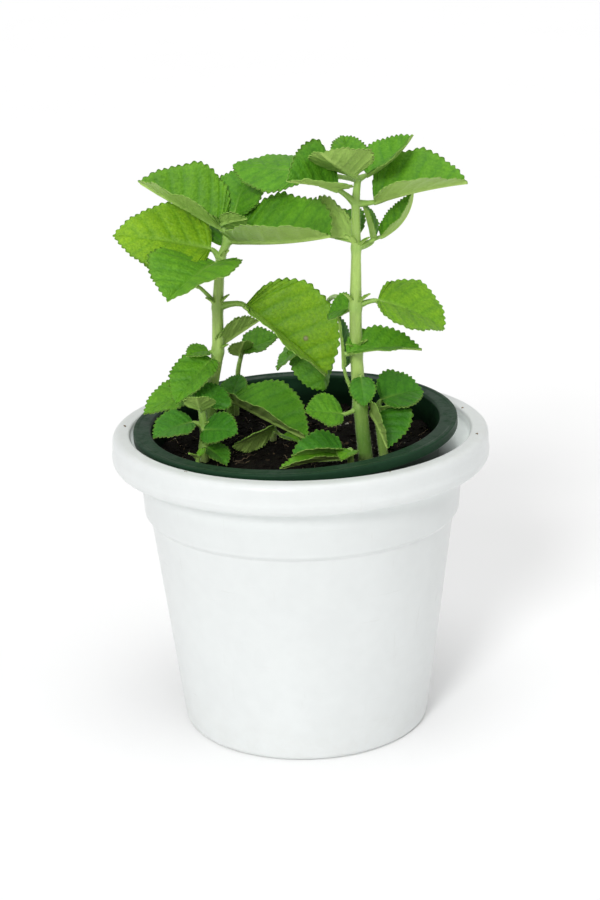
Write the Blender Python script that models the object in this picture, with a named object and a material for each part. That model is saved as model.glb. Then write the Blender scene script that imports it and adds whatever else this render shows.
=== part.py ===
"""A potted cuban oregano: leafy stems in potting soil, in a nursery pot that leans inside a white planter.

The frame: +Z is up, the planter stands on Z = 0 round the Z axis, and -Y is the front.
Dimensions are in millimetres and degrees, and MM turns millimetres into metres.
"""

import math
from collections import namedtuple

import bmesh
import bpy
from mathutils import Matrix, Vector

MM = 0.001
GAP = 0.3  # clearance between pieces that rest on or in each other

# Planter: a tapered tub with a band under an overhanging, rounded lip
PLANTER_STEPS = 44
PLANTER_WALL = 3.0
PLANTER_FLOOR = 4.0
PLANTER_HEIGHT = 204.0
PLANTER_BASE_RADIUS = 83.0
PLANTER_BODY_TOP_RADIUS = 101.2
PLANTER_BAND_RADIUS = 105.5
PLANTER_BAND_LOW = 147.0
PLANTER_BAND_HIGH = 184.0
PLANTER_LIP_RADIUS = 125.0
PLANTER_LIP_LOW = 183.5
PLANTER_MOUTH_RADIUS = 112.0

# Nursery pot: a thin tapered pot with a flat lip, a hanging skirt and drain holes
NURSERY_STEPS = 40
NURSERY_WALL = 2.0
NURSERY_FLOOR = 2.5
NURSERY_HEIGHT = 201.6
NURSERY_BASE_RADIUS = 74.0
NURSERY_NECK_RADIUS = 96.5
NURSERY_LIP_RADIUS = 107.0
NURSERY_LIP_DEPTH = 6.0
NURSERY_CENTRE = (1.2, 4.7, 8.2)
NURSERY_AXIS = (1.4, -1.5)  # beside the shoots' own zero
NURSERY_LEAN_FRONT = 1.68
NURSERY_LEAN_LEFT = 1.68
DRAIN_HOLES = 4
DRAIN_RADIUS = 4.5
DRAIN_CIRCLE = 52.0

# Soil: its top lies below the nursery pot's lip
SOIL_LEVEL = 182.0
SOIL_RINGS = 4
SOIL_BUMP = 1.6
SOIL_DISH = 1.0
SOIL_CALM = 18.0
WALL_SLACK = 1.3
HOLE_SIDES = 12
ROOT_DEPTH = 14.0

# Stems: slightly square, swollen where they bear leaves, with a short tapered growing tip
STEM_SIDES = 8
STEM_CORNER = 1.06
NODE_SWELL = 1.15
LONG_GAP = 9.0
WAIST = 0.97
TIP_LENGTH = 1.6
TIP_TAPER = 0.45

# Stalks: thicker under a wider blade and where they leave the stem
STALK_SIDES = 5
STALK_BENDS = 3
STALK_RADIUS = 0.9
STALK_GROWTH = 0.012
STALK_FLARE = 0.25
STALK_CURVE = 0.28

# Blades: the teeth's rise and the notches' depth are shares of the distance from tooth to tooth
BLADE_THICKNESS = 1.2
BLADE_WIDEST = 0.42
BASE_FULLNESS = 0.85
TOOTH_RISE = 0.22
NOTCH_DEPTH = 0.12
TOOTH_LEAN = 0.25
TOOTH_CROWDING = 0.93
RIB_SWEEP = 0.10
NARROW_TEETH = 5
WAVE_HEIGHT = 0.035
WAVE_TURNS = 9.0
LEAST_BEND = 0.5  # degrees

# A leaf: stalk goes from the stem's axis to the blade, blade from there to the tip, both as x, y, z.
# width: across the blade. droop: how far the midrib bends down from base to tip.
# fold: how far each half rises at the midrib. flare: how much less it rises at the margin.
# roll: turns the upper face to the leaf's right. teeth: on each margin. point: how slender the tip is.
Leaf = namedtuple("Leaf", "stalk blade width droop fold flare roll teeth point", defaults=(0.8,))
# A node of a stem: its place above the soil's level, the stem's radius there and the leaves it bears
Joint = namedtuple("Joint", "place radius leaves")
# A shoot: its name, the radius and the place of its foot in the soil, and its nodes from low to high
Shoot = namedtuple("Shoot", "name foot radius joints")

LEFT_MAIN = Shoot("left_main_shoot", (-56, 9), 4.6, [
    Joint((-53, 10, 38), 4.3, [
        Leaf((-8, 2, 0), (-37, -8, -11), 30, 25, 18, 10, -20, 6),
    ]),
    Joint((-47, 11, 65), 4.0, [
        Leaf((-4, -4, -4), (-24, -21, -22), 34, 20, 24, 10, -12, 6),
        Leaf((-1, 1, 2), (28, 15, 13), 36, 0, 20, 8, -40, 6),
        Leaf((-6, -3, 1), (-14, -7, 0), 17, 30, 15, 5, -15, 4),
    ]),
    Joint((-45, 12, 95), 3.7, [
        Leaf((18, -4, 1), (50, -15, -45), 76, 6, 47, 8, 24, 9, 0.5),
        Leaf((-12, 2, 14), (-26, 8, 10), 34, 20, 25, 5, 0, 6),
    ]),
    Joint((-41, 12, 126), 3.0, [
        Leaf((-3, -8, 0), (-29, -47, -10), 66, 20, 23, 8, -5, 8),
        Leaf((2, 8, 8), (2, 44, 16), 48, 30, 25, 8, 0, 7),
        Leaf((-6, 0, 8), (-62, 1, 12), 56, 8, 12, 8, -38, 8),
    ]),
    Joint((-36, 12, 138), 2.6, [
        Leaf((4, -2, 1), (62, -51, 12), 64, -12, 46, 6, 14, 8, 0.3),
        Leaf((-3, 3, 9), (-52, 11, 31), 64, -8, 46, 6, -14, 8),
    ]),
    Joint((-32, 12, 148), 2.0, [
        Leaf((1, 7, 4), (12, 21, 27), 44, 20, 22, 5, 0, 7),
        Leaf((-6, -8, 4), (16, -7, 4), 18, 5, 5, 5, -50, 4),
    ]),
])

RIGHT_MAIN = Shoot("right_main_shoot", (46, -37), 4.8, [
    Joint((44, -36, 37), 4.5, [
        Leaf((-12, -4, -3), (-23, -6, 5), 30, 10, 12, 5, -27, 6),
        Leaf((1, -7, 22), (1, -7, -17), 17, 20, 10, 5, 0, 4),
        Leaf((-9, 5, 25), (-2, 3, 34), 20, 5, 25, 5, 40, 5),
    ]),
    Joint((43, -35, 74), 4.1, [
        Leaf((-6, -8, 1), (47, 8, -2), 33, 20, 30, 5, 15, 6),
    ]),
    Joint((44, -34, 103), 3.9, [
        Leaf((14, 0, 3), (41, -4, -19), 52, 22, 15, 8, 19, 7, 0.5),
        Leaf((-4, 6, -3), (-13, 8, -5), 26, 15, 20, 5, -30, 5),
        Leaf((-19, 67, -23), (-4, -11, -49), 50, 5, -42, 5, -50, 8, 0.4),
        Leaf((-33, 73, -42), (-20, -6, -17), 40, 5, 8, 5, 10, 6),
    ]),
    Joint((46, -32, 140), 3.1, [
        Leaf((0, 4, 4), (-34, 31, 0), 52, 0, 60, 5, 25, 7, 0.6),
        Leaf((16, 3, 6), (21, 7, 26), 24, -75, 40, 5, 0, 6),
        Leaf((11, 5, 4), (-5, 0.6, 22), 22, 0, 25, 5, 0, 5),
    ]),
    Joint((47, -30, 168), 2.6, [
        Leaf((-11, -3, 10), (-30, -19, 12), 58, 10, 38, 5, -26, 7),
        Leaf((12, 2, 0), (57, -4, 10), 58, 12, 42, 5, 14, 8),
    ]),
    Joint((49, -29, 183), 2.1, [
        Leaf((6, 2, 2), (29, 11, 21), 38, -35, 30, 5, 5, 6),
        Leaf((-2, -6, 3), (-20, -26, 22), 44, -10, 25, 15, 15, 7),
        Leaf((-3, 4, 5), (-4, 24, 17), 24, 10, 25, 5, 0, 5),
        Leaf((-30, 29, 0), (-48, 26, 2), 42, 5, -6, 5, -22, 7),
    ]),
])

LEFT_FRONT = Shoot("left_front_shoot", (-59, -19), 3.2, [
    Joint((-59, -19, 9), 3.0, [
        Leaf((2, -4, 1), (13, -12, -8), 20, 20, 20, 5, 0, 4),
    ]),
    Joint((-58, -18, 23), 2.7, [
        Leaf((-7, -2, 4), (-25, -10, -5), 32, 20, 14, 5, -12, 5),
        Leaf((0, -4, -1), (22, -12, 1), 28, 20, 10, 5, 30, 5),
    ]),
    Joint((-59, -18, 39), 2.2, [
        Leaf((0, -2, -4), (-1, -15, 14), 21, 0, 15, 5, 0, 5),
        Leaf((3, 3, -2), (11, 13, 7), 29, 15, 9, 5, 28, 5),
    ]),
])

MIDDLE = Shoot("middle_shoot", (-44, 39), 3.0, [
    Joint((-42, 39, 21), 2.6, [
        Leaf((1, 2, 2), (6, 12, 12), 20, 15, 15, 5, 0, 5),
        Leaf((1, -2, 1), (50, -46, -15), 54, -5, 44, 5, -1, 8),
    ]),
])

BACK = Shoot("back_shoot", (-40, 73), 1.9, [
    Joint((-37, 74, 31), 1.7, []),
    Joint((-33, 74, 46), 1.5, [
        Leaf((1, 0, 0), (24, 2, 8), 32, -5, 19, 5, 16, 5),
        Leaf((-2, -2, -3), (4, -13, 14), 18, 10, 15, 5, 0, 4),
    ]),
])

CENTRE = Shoot("centre_shoot", (-14, 16), 2.2, [
    Joint((-14, 14, 8), 2.0, [
        Leaf((0, -11, 4), (-26, -25, -2), 21, 3, -20, 5, 60, 6),
        Leaf((7, -9, -2), (10, -8, -2), 16, 15, 20, 5, 0, 4),
    ]),
])

FRONT_RIGHT = Shoot("front_right_shoot", (36, -51), 2.2, [
    Joint((36, -50, 12), 2.0, [
        Leaf((-5, 0, 0), (-32, -4, 1), 32, 15, 35, 5, -5, 5),
        Leaf((-7, -4, -3), (-38, -7, -2), 18, 10, 38, 5, 0, 5),
        Leaf((1, -3, 1), (-7, -13, -1), 14, 15, 20, 5, 0, 4),
    ]),
])

RIGHT_LOW = Shoot("right_low_shoot", (58, -33), 3.2, [
    Joint((55, -31, 32), 2.6, [
        Leaf((3, 3, 6), (27, 8, 2), 38, 20, 20, 5, 25, 6),
        Leaf((-4, -1, -1), (9, -20, -17), 46, 20, 46, 5, -28, 6),
        Leaf((3, 0, 1), (7, -6, 4), 12, 10, 20, 5, 0, 3),
    ]),
])

SPROUT = Shoot("sprout", (-63, -42), 1.6, [
    Joint((-62, -41, 10), 1.3, [
        Leaf((-1, -1, 1), (-4, -4, 4), 7, 5, 15, 5, 0, 3),
        Leaf((1, 0, 1), (4, 3, 4), 7, 5, 15, 5, 0, 3),
    ]),
])

SHOOTS = [LEFT_MAIN, RIGHT_MAIN, LEFT_FRONT, MIDDLE, BACK, CENTRE, FRONT_RIGHT, RIGHT_LOW, SPROUT]


def clear_scene():
    for obj in list(bpy.data.objects):
        bpy.data.objects.remove(obj, do_unlink=True)


def material(name, colour, roughness):
    """A Principled material of one colour."""
    mat = bpy.data.materials.get(name)
    if mat is None:
        mat = bpy.data.materials.new(name)
        mat.use_nodes = True
        shader = mat.node_tree.nodes["Principled BSDF"]
        shader.inputs["Base Color"].default_value = (*colour, 1.0)
        shader.inputs["Roughness"].default_value = roughness
        shader.inputs["Metallic"].default_value = 0.0
    return mat


def add_object(name, mesh, mat, parent=None):
    mesh.materials.clear()
    mesh.materials.append(mat)
    obj = bpy.data.objects.new(name, mesh)
    obj.parent = parent
    bpy.context.scene.collection.objects.link(obj)
    return obj


def mesh_from(name, points, faces):
    """A mesh in metres from points in millimetres, with its faces turned outwards."""
    bm = bmesh.new()
    corners = [bm.verts.new(Vector(point) * MM) for point in points]
    for face in faces:
        bm.faces.new([corners[index] for index in face])
    bmesh.ops.recalc_face_normals(bm, faces=bm.faces)
    mesh = bpy.data.meshes.new(name)
    bm.to_mesh(mesh)
    bm.free()
    return mesh


def turned(name, profile, steps):
    """A solid of revolution: the profile's (radius, height) points run from axis to axis."""
    bm = bmesh.new()
    corners = [bm.verts.new(Vector((radius, 0.0, height)) * MM) for radius, height in profile]
    edges = [bm.edges.new(pair) for pair in zip(corners, corners[1:])]
    bmesh.ops.spin(bm, geom=corners + edges, cent=(0, 0, 0), axis=(0, 0, 1), angle=math.tau, steps=steps,
                   use_merge=True)
    bmesh.ops.remove_doubles(bm, verts=bm.verts, dist=1e-6)
    bmesh.ops.recalc_face_normals(bm, faces=bm.faces)
    mesh = bpy.data.meshes.new(name)
    bm.to_mesh(mesh)
    bm.free()
    mesh.shade_smooth()
    mesh.set_sharp_from_angle(angle=math.radians(40))
    return mesh


def applied(obj):
    """Replaces an object's mesh with its evaluated one and drops its modifiers."""
    depsgraph = bpy.context.evaluated_depsgraph_get()
    mesh = bpy.data.meshes.new_from_object(obj.evaluated_get(depsgraph))
    obj.modifiers.clear()
    obj.data = mesh
    return obj


def boolean(obj, others, operation):
    """One Boolean on a collection of helper objects, applied, and the helpers removed."""
    helpers = bpy.data.collections.new("helpers")
    bpy.context.scene.collection.children.link(helpers)
    for other in others:
        bpy.context.scene.collection.objects.unlink(other)
        helpers.objects.link(other)
        other.hide_render = True
        other.display_type = "WIRE"
    modifier = obj.modifiers.new(operation.lower(), "BOOLEAN")
    modifier.operation = operation
    modifier.operand_type = "COLLECTION"
    modifier.collection = helpers
    modifier.solver = "EXACT"
    bpy.context.view_layer.update()
    applied(obj)
    for other in others:
        bpy.data.objects.remove(other, do_unlink=True)
    bpy.data.collections.remove(helpers)
    return obj


def arc(centre, radius, start, end, count):
    """Points along an arc in the (radius, height) plane."""
    angles = [math.radians(start + (end - start) * i / (count - 1)) for i in range(count)]
    return [(centre[0] + radius * math.cos(a), centre[1] + radius * math.sin(a)) for a in angles]


def planter_profile():
    """From the axis under the floor, up the outside, over the lip and down the inside to the floor."""
    lip = PLANTER_LIP_RADIUS
    top = PLANTER_HEIGHT
    wall = PLANTER_WALL
    outside = [(0, 1.2), (PLANTER_BASE_RADIUS - 9, 1.2), (PLANTER_BASE_RADIUS - 8, 0),
               (PLANTER_BASE_RADIUS - 2, 0), (PLANTER_BASE_RADIUS, 2.0)]
    band = [(PLANTER_BODY_TOP_RADIUS, PLANTER_BAND_LOW), (PLANTER_BAND_RADIUS - 0.6, PLANTER_BAND_LOW + 5),
            (PLANTER_BAND_RADIUS + 1.5, PLANTER_BAND_HIGH), (PLANTER_MOUTH_RADIUS + 1.0, top - 5.0)]
    skirt = [(lip - 8.0, top - 4.5), (lip - 4.8, top - 7.5), (lip - 4.6, PLANTER_LIP_LOW + 0.6),
             (lip - 3.2, PLANTER_LIP_LOW), (lip - 0.8, PLANTER_LIP_LOW + 2.5), (lip, top - 12.0)]
    crest = arc((lip - 6.8, top - 6.2), 6.2, 0, 90, 5) + [(PLANTER_MOUTH_RADIUS + 2.0, top - 0.2)]
    inside = [(PLANTER_MOUTH_RADIUS, top - 2.2), (PLANTER_MOUTH_RADIUS - 0.4, top - 7.0),
              (PLANTER_BAND_RADIUS - wall + 0.8, PLANTER_BAND_HIGH + 3.5),
              (PLANTER_BAND_RADIUS - wall, PLANTER_BAND_HIGH - 6),
              (PLANTER_BODY_TOP_RADIUS - wall, PLANTER_BAND_LOW + 1),
              (PLANTER_BASE_RADIUS - wall + 0.5, PLANTER_FLOOR + 2.5),
              (PLANTER_BASE_RADIUS - wall - 3.0, PLANTER_FLOOR), (0, PLANTER_FLOOR)]
    return outside + band + skirt + crest + inside


def nursery_inside(height):
    """The nursery pot's inner radius at a height above its base."""
    slope = (NURSERY_NECK_RADIUS - NURSERY_BASE_RADIUS) / (NURSERY_HEIGHT - NURSERY_LIP_DEPTH)
    return NURSERY_BASE_RADIUS - NURSERY_WALL + slope * height


def nursery_profile():
    """From the axis under the floor, up the outside, round the skirt and the lip, and down the inside."""
    top = NURSERY_HEIGHT
    lip = NURSERY_LIP_RADIUS
    low = top - NURSERY_LIP_DEPTH
    outside = [(0, 1.5), (NURSERY_BASE_RADIUS - 12, 1.5), (NURSERY_BASE_RADIUS - 11, 0),
               (NURSERY_BASE_RADIUS - 1.5, 0), (NURSERY_BASE_RADIUS, 1.5)]
    skirt = [(NURSERY_NECK_RADIUS, top - 3.2), (lip - 3.8, top - 2.4), (lip - 2.0, low),
             (lip, low), (lip - 0.2, top - 1.2), (lip - 1.2, top)]
    inside = [(nursery_inside(top) + 1.0, top), (nursery_inside(top - 1.5), top - 1.5),
              (nursery_inside(NURSERY_FLOOR + 1.5), NURSERY_FLOOR + 1.5),
              (nursery_inside(NURSERY_FLOOR) - 2.0, NURSERY_FLOOR), (0, NURSERY_FLOOR)]
    return outside + skirt + inside


def cylinder(name, radius, low, high, sides, centre):
    """A closed prism that stands on end, in millimetres."""
    ring = [(centre[0] + radius * math.cos(math.tau * i / sides),
             centre[1] + radius * math.sin(math.tau * i / sides)) for i in range(sides)]
    points = [(x, y, low) for x, y in ring] + [(x, y, high) for x, y in ring]
    faces = [tuple(range(sides)), tuple(range(sides, 2 * sides))]
    faces += [(i, (i + 1) % sides, sides + (i + 1) % sides, sides + i) for i in range(sides)]
    return mesh_from(name, points, faces)


def nursery_pot(parent, mat):
    mesh = turned("nursery_pot", nursery_profile(), NURSERY_STEPS)
    mesh.transform(Matrix.Translation(Vector((*NURSERY_AXIS, 0)) * MM))
    pot = add_object("nursery_pot", mesh, mat, parent)
    drains = []
    for i in range(DRAIN_HOLES):
        angle = math.tau * (i + 0.5) / DRAIN_HOLES
        centre = (NURSERY_AXIS[0] + DRAIN_CIRCLE * math.cos(angle),
                  NURSERY_AXIS[1] + DRAIN_CIRCLE * math.sin(angle))
        mesh = cylinder("drain", DRAIN_RADIUS, -5, 8, 12, centre)
        drains.append(add_object("drain_%d" % i, mesh, mat, parent))
    return boolean(pot, drains, "DIFFERENCE")


def soil_height(x, y):
    """A gently uneven surface that dips where a stem stands."""
    wave = math.sin(0.11 * x + 1.0) * math.cos(0.09 * y) + 0.6 * math.sin(0.21 * y - 0.13 * x)
    near = min(math.hypot(x - shoot.foot[0], y - shoot.foot[1]) for shoot in SHOOTS)
    calm = min(1.0, near / SOIL_CALM)
    return SOIL_LEVEL + (SOIL_BUMP * wave + SOIL_DISH) * calm - SOIL_DISH


def soil(parent, mat):
    """The soil, which fills the nursery pot with a hole round each stem."""
    sides = NURSERY_STEPS
    low = NURSERY_FLOOR + GAP
    points = [(*NURSERY_AXIS, low), (*NURSERY_AXIS, soil_height(*NURSERY_AXIS))]
    edge = nursery_inside(SOIL_LEVEL) - GAP * WALL_SLACK
    rings = [(nursery_inside(low) - 2.0 - GAP, low), (nursery_inside(low + 2) - GAP * WALL_SLACK, low + 2)]
    rings += [(edge * (1 - k / SOIL_RINGS), None) for k in range(SOIL_RINGS)]
    for radius, height in rings:
        for i in range(sides):
            x = NURSERY_AXIS[0] + radius * math.cos(math.tau * i / sides)
            y = NURSERY_AXIS[1] + radius * math.sin(math.tau * i / sides)
            points.append((x, y, soil_height(x, y) if height is None else height))
    faces = []
    last = 2 + (len(rings) - 1) * sides
    for i in range(sides):
        j = (i + 1) % sides
        faces += [(0, 2 + j, 2 + i), (1, last + i, last + j)]
        for a in range(2, last, sides):
            b = a + sides
            faces += [(a + i, a + j, b + j), (a + i, b + j, b + i)]
    body = add_object("potting_soil", mesh_from("potting_soil", points, faces), mat, parent)
    holes = []
    for shoot in SHOOTS:
        radius = (shoot.radius * STEM_CORNER + GAP) / math.cos(math.pi / HOLE_SIDES)
        mesh = cylinder("hole", radius, SOIL_LEVEL - ROOT_DEPTH - GAP, SOIL_LEVEL + 20, HOLE_SIDES, shoot.foot)
        holes.append(add_object("hole_" + shoot.name, mesh, mat, parent))
    return boolean(body, holes, "DIFFERENCE")


def tube(path, radii, sides, corner=1.0):
    """Points and faces of a closed tube along a path, with corners a little proud on every other side."""
    points, faces = [], []
    side = None
    for i, place in enumerate(path):
        ahead = path[min(i + 1, len(path) - 1)] - path[max(i - 1, 0)]
        ahead.normalize()
        if side is None:
            side = ahead.cross(Vector((0, 1, 0)))
            if side.length < 0.3:
                side = ahead.cross(Vector((1, 0, 0)))
        side = (side - ahead * side.dot(ahead)).normalized()
        other = ahead.cross(side)
        for k in range(sides):
            angle = math.tau * k / sides
            reach = radii[i] * (corner if k % 2 else 2 - corner)
            points.append(place + side * (reach * math.cos(angle)) + other * (reach * math.sin(angle)))
    for i in range(len(path) - 1):
        for k in range(sides):
            a, b = i * sides + k, i * sides + (k + 1) % sides
            faces.append((a, b, b + sides, a + sides))
    faces.append(tuple(range(sides)))
    faces.append(tuple(range(len(points) - sides, len(points))))
    return points, faces


def outline(u, point):
    """Half the blade's width at a share u of its length, from 0 to 1: a round base that runs to a point."""
    if u < BLADE_WIDEST:
        return math.sqrt(1 - (1 - u / BLADE_WIDEST) ** 2) ** BASE_FULLNESS
    return max(0.0, math.cos(math.pi / 2 * (u - BLADE_WIDEST) / (1 - BLADE_WIDEST))) ** point


def blade_frame(leaf, start):
    """A function that gives a place on the midrib at u, and the directions ahead, right and up there."""
    chord = Vector(leaf.blade)
    length = chord.length
    ahead = chord.normalized()
    right = ahead.cross(Vector((0, 0, 1))).normalized()
    above = right.cross(ahead)
    bend = math.radians(leaf.droop if abs(leaf.droop) > LEAST_BEND else LEAST_BEND)
    arc_length = length * (bend / 2) / math.sin(bend / 2)
    roll = math.radians(leaf.roll)

    def at(u):
        angle = bend * (0.5 - u)
        along = (math.sin(bend / 2) - math.sin(angle)) / bend
        rise = (math.cos(angle) - math.cos(bend / 2)) / bend
        place = start + (ahead * along + above * rise) * arc_length
        forward = ahead * math.cos(angle) + above * math.sin(angle)
        normal = above * math.cos(angle) - ahead * math.sin(angle)
        side = right * math.cos(roll) - normal * math.sin(roll)
        normal = normal * math.cos(roll) + right * math.sin(roll)
        return place, forward, side, normal

    return at


def across(leaf, distance):
    """Sideways reach, height and slope of a half blade at a distance from the midrib."""
    fold = math.radians(leaf.fold)
    bend = math.radians(leaf.flare) / (leaf.width / 2)
    slope = fold - bend * distance
    reach = (math.sin(fold) - math.sin(slope)) / bend
    height = (math.cos(slope) - math.cos(fold)) / bend
    return reach, height, slope


def wave(leaf, u, distance, side):
    """The margin's slow wave, in millimetres."""
    half = leaf.width / 2
    phase = 0.7 * leaf.width + 1.9 * side
    return WAVE_HEIGHT * half * math.sin(WAVE_TURNS * u + phase) * (distance / half) ** 2


def on_blade(leaf, at, u, distance, side):
    """The two skins' points at u along the midrib and a distance to one side (+1 right, -1 left)."""
    place, forward, right, up = at(u)
    reach, height, slope = across(leaf, distance)
    centre = place + right * (side * reach) + up * (height + wave(leaf, u, distance, side))
    if distance == 0:
        normal = up / math.cos(slope)
    else:
        normal = up * math.cos(slope) - right * (side * math.sin(slope))
    half = BLADE_THICKNESS / 2
    return centre + normal * half, centre - normal * half


def margin(leaf):
    """Flat (u, distance) points of one margin from base to tip: a notch, a tooth, a notch and so on."""
    steps = 2 * leaf.teeth
    pitch = Vector(leaf.blade).length / leaf.teeth
    points = [(0.0, 0.0)]
    for k in range(1, steps):
        on_tooth = k % 2 == 1
        share = (k + (TOOTH_LEAN if on_tooth else 0.0)) / steps
        u = 0.5 - 0.5 * math.cos(math.pi * share ** TOOTH_CROWDING)
        height = pitch * (TOOTH_RISE if on_tooth else -NOTCH_DEPTH)
        distance = leaf.width / 2 * outline(u, leaf.point) + height * (0.5 + 0.5 * math.sin(math.pi * share))
        points.append((u, max(distance, 0.0)))
    return points + [(1.0, 0.0)]


def blade(leaf, start):
    """Points and faces of one blade: two alike skins and the scalloped rim between them."""
    at = blade_frame(leaf, start)
    teeth = leaf.teeth
    edge = margin(leaf)
    top, under, triangles, rim = [], [], [], []

    def put(u, distance, side):
        upper, lower = on_blade(leaf, at, u, distance, side)
        top.append(upper)
        under.append(lower)
        return len(top) - 1

    ribs = [max(0.0, edge[2 * i][0] - RIB_SWEEP * math.sin(math.pi * i / teeth)) for i in range(teeth + 1)]
    middle = [put(rib, 0.0, 1) for rib in ribs]
    for side in (1, -1):
        outer = [middle[0]] + [put(*edge[k], side) for k in range(1, 2 * teeth)] + [middle[teeth]]
        inner = middle
        if teeth > NARROW_TEETH:
            halfway = [put((ribs[i] + edge[2 * i][0]) / 2, edge[2 * i][1] / 2, side) for i in range(1, teeth)]
            inner = [middle[0]] + halfway + [middle[teeth]]
        for i in range(teeth):
            a, b, c, d = middle[i], middle[i + 1], inner[i + 1], inner[i]
            p, q, r = outer[2 * i:2 * i + 3]
            corners = ((a, b, c), (a, c, d), (d, q, p), (d, c, q), (c, r, q))
            triangles += [corner for corner in corners if len(set(corner)) == 3]
        rim += zip(outer, outer[1:])
    count = len(top)
    faces = triangles + [(c + count, b + count, a + count) for a, b, c in triangles]
    for a, b in rim:
        faces += [(a, b, b + count), (a, b + count, a + count)]
    return top + under, faces


def stalk(leaf, root):
    """Points and faces of the leaf's stalk, which runs on under the blade as the start of its midrib."""
    start = root + Vector(leaf.stalk)
    at = blade_frame(leaf, start)
    forward = at(0.0)[1]
    reach = Vector(leaf.stalk).length
    bend = start - forward * (reach * STALK_CURVE)
    thick = STALK_RADIUS + STALK_GROWTH * leaf.width
    path, radii = [], []
    for i in range(STALK_BENDS):
        t = i / STALK_BENDS
        path.append(root * (1 - t) ** 2 + bend * (2 * t * (1 - t)) + start * t ** 2)
        radii.append(thick * (1 + STALK_FLARE * (1 - t)))
    for u in (0.02, 0.14):
        place, _, _, up = at(u)
        path.append(place - up * (thick * 0.6))
        radii.append(thick * (1.0 - 2.5 * u))
    return tube(path, radii, STALK_SIDES)


def stem(shoot):
    """Points and faces of a shoot's stem, from its foot in the soil to its growing tip."""
    foot = Vector((shoot.foot[0], shoot.foot[1], 0))
    path = [foot - Vector((0, 0, ROOT_DEPTH)), foot]
    radii = [shoot.radius, shoot.radius]
    for joint in shoot.joints:
        place = Vector(joint.place)
        before = path[-1]
        if (place - before).length > LONG_GAP:
            path.append(before.lerp(place, 0.5))
            radii.append((radii[-1] + joint.radius) / 2 * WAIST)
        path.append(place)
        radii.append(joint.radius * (NODE_SWELL if joint.leaves else 1.0))
    ahead = (path[-1] - path[-2]).normalized()
    path.append(path[-1] + ahead * (radii[-1] * TIP_LENGTH))
    radii.append(radii[-1] * TIP_TAPER)
    return tube(path, radii, STEM_SIDES, STEM_CORNER)


def leafy_stem(shoot, parent, mat):
    """One solid of a stem with its leaves."""
    lift = Vector((0, 0, SOIL_LEVEL))

    def raised(shape):
        points, faces = shape
        return [point + lift for point in points], faces

    body = add_object(shoot.name, mesh_from(shoot.name, *raised(stem(shoot))), mat, parent)
    parts = []
    for joint in shoot.joints:
        for leaf in joint.leaves:
            root = Vector(joint.place)
            for shape in (stalk(leaf, root), blade(leaf, root + Vector(leaf.stalk))):
                mesh = mesh_from("part", *raised(shape))
                parts.append(add_object("part_%d" % len(parts), mesh, mat, parent))
    return boolean(body, parts, "UNION")


def main():
    clear_scene()
    white = material("white_plastic", (0.78, 0.81, 0.82), 0.32)
    green = material("green_plastic", (0.028, 0.070, 0.042), 0.38)
    earth = material("soil", (0.020, 0.015, 0.011), 0.95)
    leaf_green = material("leaf_green", (0.13, 0.36, 0.035), 0.55)
    add_object("outer_planter", turned("outer_planter", planter_profile(), PLANTER_STEPS), white)
    lean = bpy.data.objects.new("pot_lean", None)
    lean.location = Vector(NURSERY_CENTRE) * MM
    lean.rotation_euler = (math.radians(NURSERY_LEAN_FRONT), math.radians(-NURSERY_LEAN_LEFT), 0)
    bpy.context.scene.collection.objects.link(lean)
    bpy.context.view_layer.update()
    nursery_pot(lean, green)
    soil(lean, earth)
    for shoot in SHOOTS:
        leafy_stem(shoot, lean, leaf_green)


main()
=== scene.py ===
"""Dresses the frame of a potted cuban oregano: leafy stems in a dark pot that leans in a white planter.

The tables hold millimetres and degrees. The shoots stand in the nursery pot's own leaning frame, with
heights above the soil's level. Meshes are in metres.
"""

import math
import random
from collections import namedtuple

import bmesh
import bpy
import numpy as np
from bpy.props import FloatProperty, FloatVectorProperty, IntProperty, PointerProperty
from bpy.types import Operator, Panel, PropertyGroup
from mathutils import Euler, Matrix, Vector, noise


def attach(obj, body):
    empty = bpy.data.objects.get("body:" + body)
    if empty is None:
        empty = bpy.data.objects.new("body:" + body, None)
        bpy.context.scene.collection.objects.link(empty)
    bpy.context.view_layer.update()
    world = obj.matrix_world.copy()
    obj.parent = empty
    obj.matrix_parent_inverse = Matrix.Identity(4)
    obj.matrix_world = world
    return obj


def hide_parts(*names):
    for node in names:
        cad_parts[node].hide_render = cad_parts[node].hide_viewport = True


bl_info = {
    "name": "Potted cuban oregano",
    "version": (1, 0, 0),
    "blender": (4, 5, 0),
    "location": "View3D > Sidebar > Oregano",
    "description": "Builds a potted cuban oregano around its frame",
    "category": "Object",
}

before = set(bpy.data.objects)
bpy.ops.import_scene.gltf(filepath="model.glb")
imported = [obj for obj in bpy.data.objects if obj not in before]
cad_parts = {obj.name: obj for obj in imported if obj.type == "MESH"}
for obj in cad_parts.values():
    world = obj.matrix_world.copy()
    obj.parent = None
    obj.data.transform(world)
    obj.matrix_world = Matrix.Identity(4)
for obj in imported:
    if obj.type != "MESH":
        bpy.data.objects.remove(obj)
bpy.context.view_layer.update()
MM = 0.001

# Nursery pot and soil, as in the frame
POT_CENTRE = (1.2, 4.7, 8.2)
POT_LEAN_FRONT = 1.68
POT_LEAN_LEFT = 1.68
POT_HEIGHT = 201.6
POT_BASE_RADIUS = 74.0
POT_NECK_RADIUS = 96.5
POT_LIP_RADIUS = 107.0
POT_AXIS = (1.4, -1.5)  # beside the shoots' own zero
POT_LIP_DEPTH = 6.0
POT_WALL = 2.0
POT_FLOOR = 2.5
SOIL_LEVEL = 182.0
SOIL_GAP = 0.5
ROOT_DEPTH = 14.0
LEAN = (Matrix.Translation(Vector(POT_CENTRE) * MM)
        @ Euler((math.radians(POT_LEAN_FRONT), math.radians(-POT_LEAN_LEFT), 0)).to_matrix().to_4x4())

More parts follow.
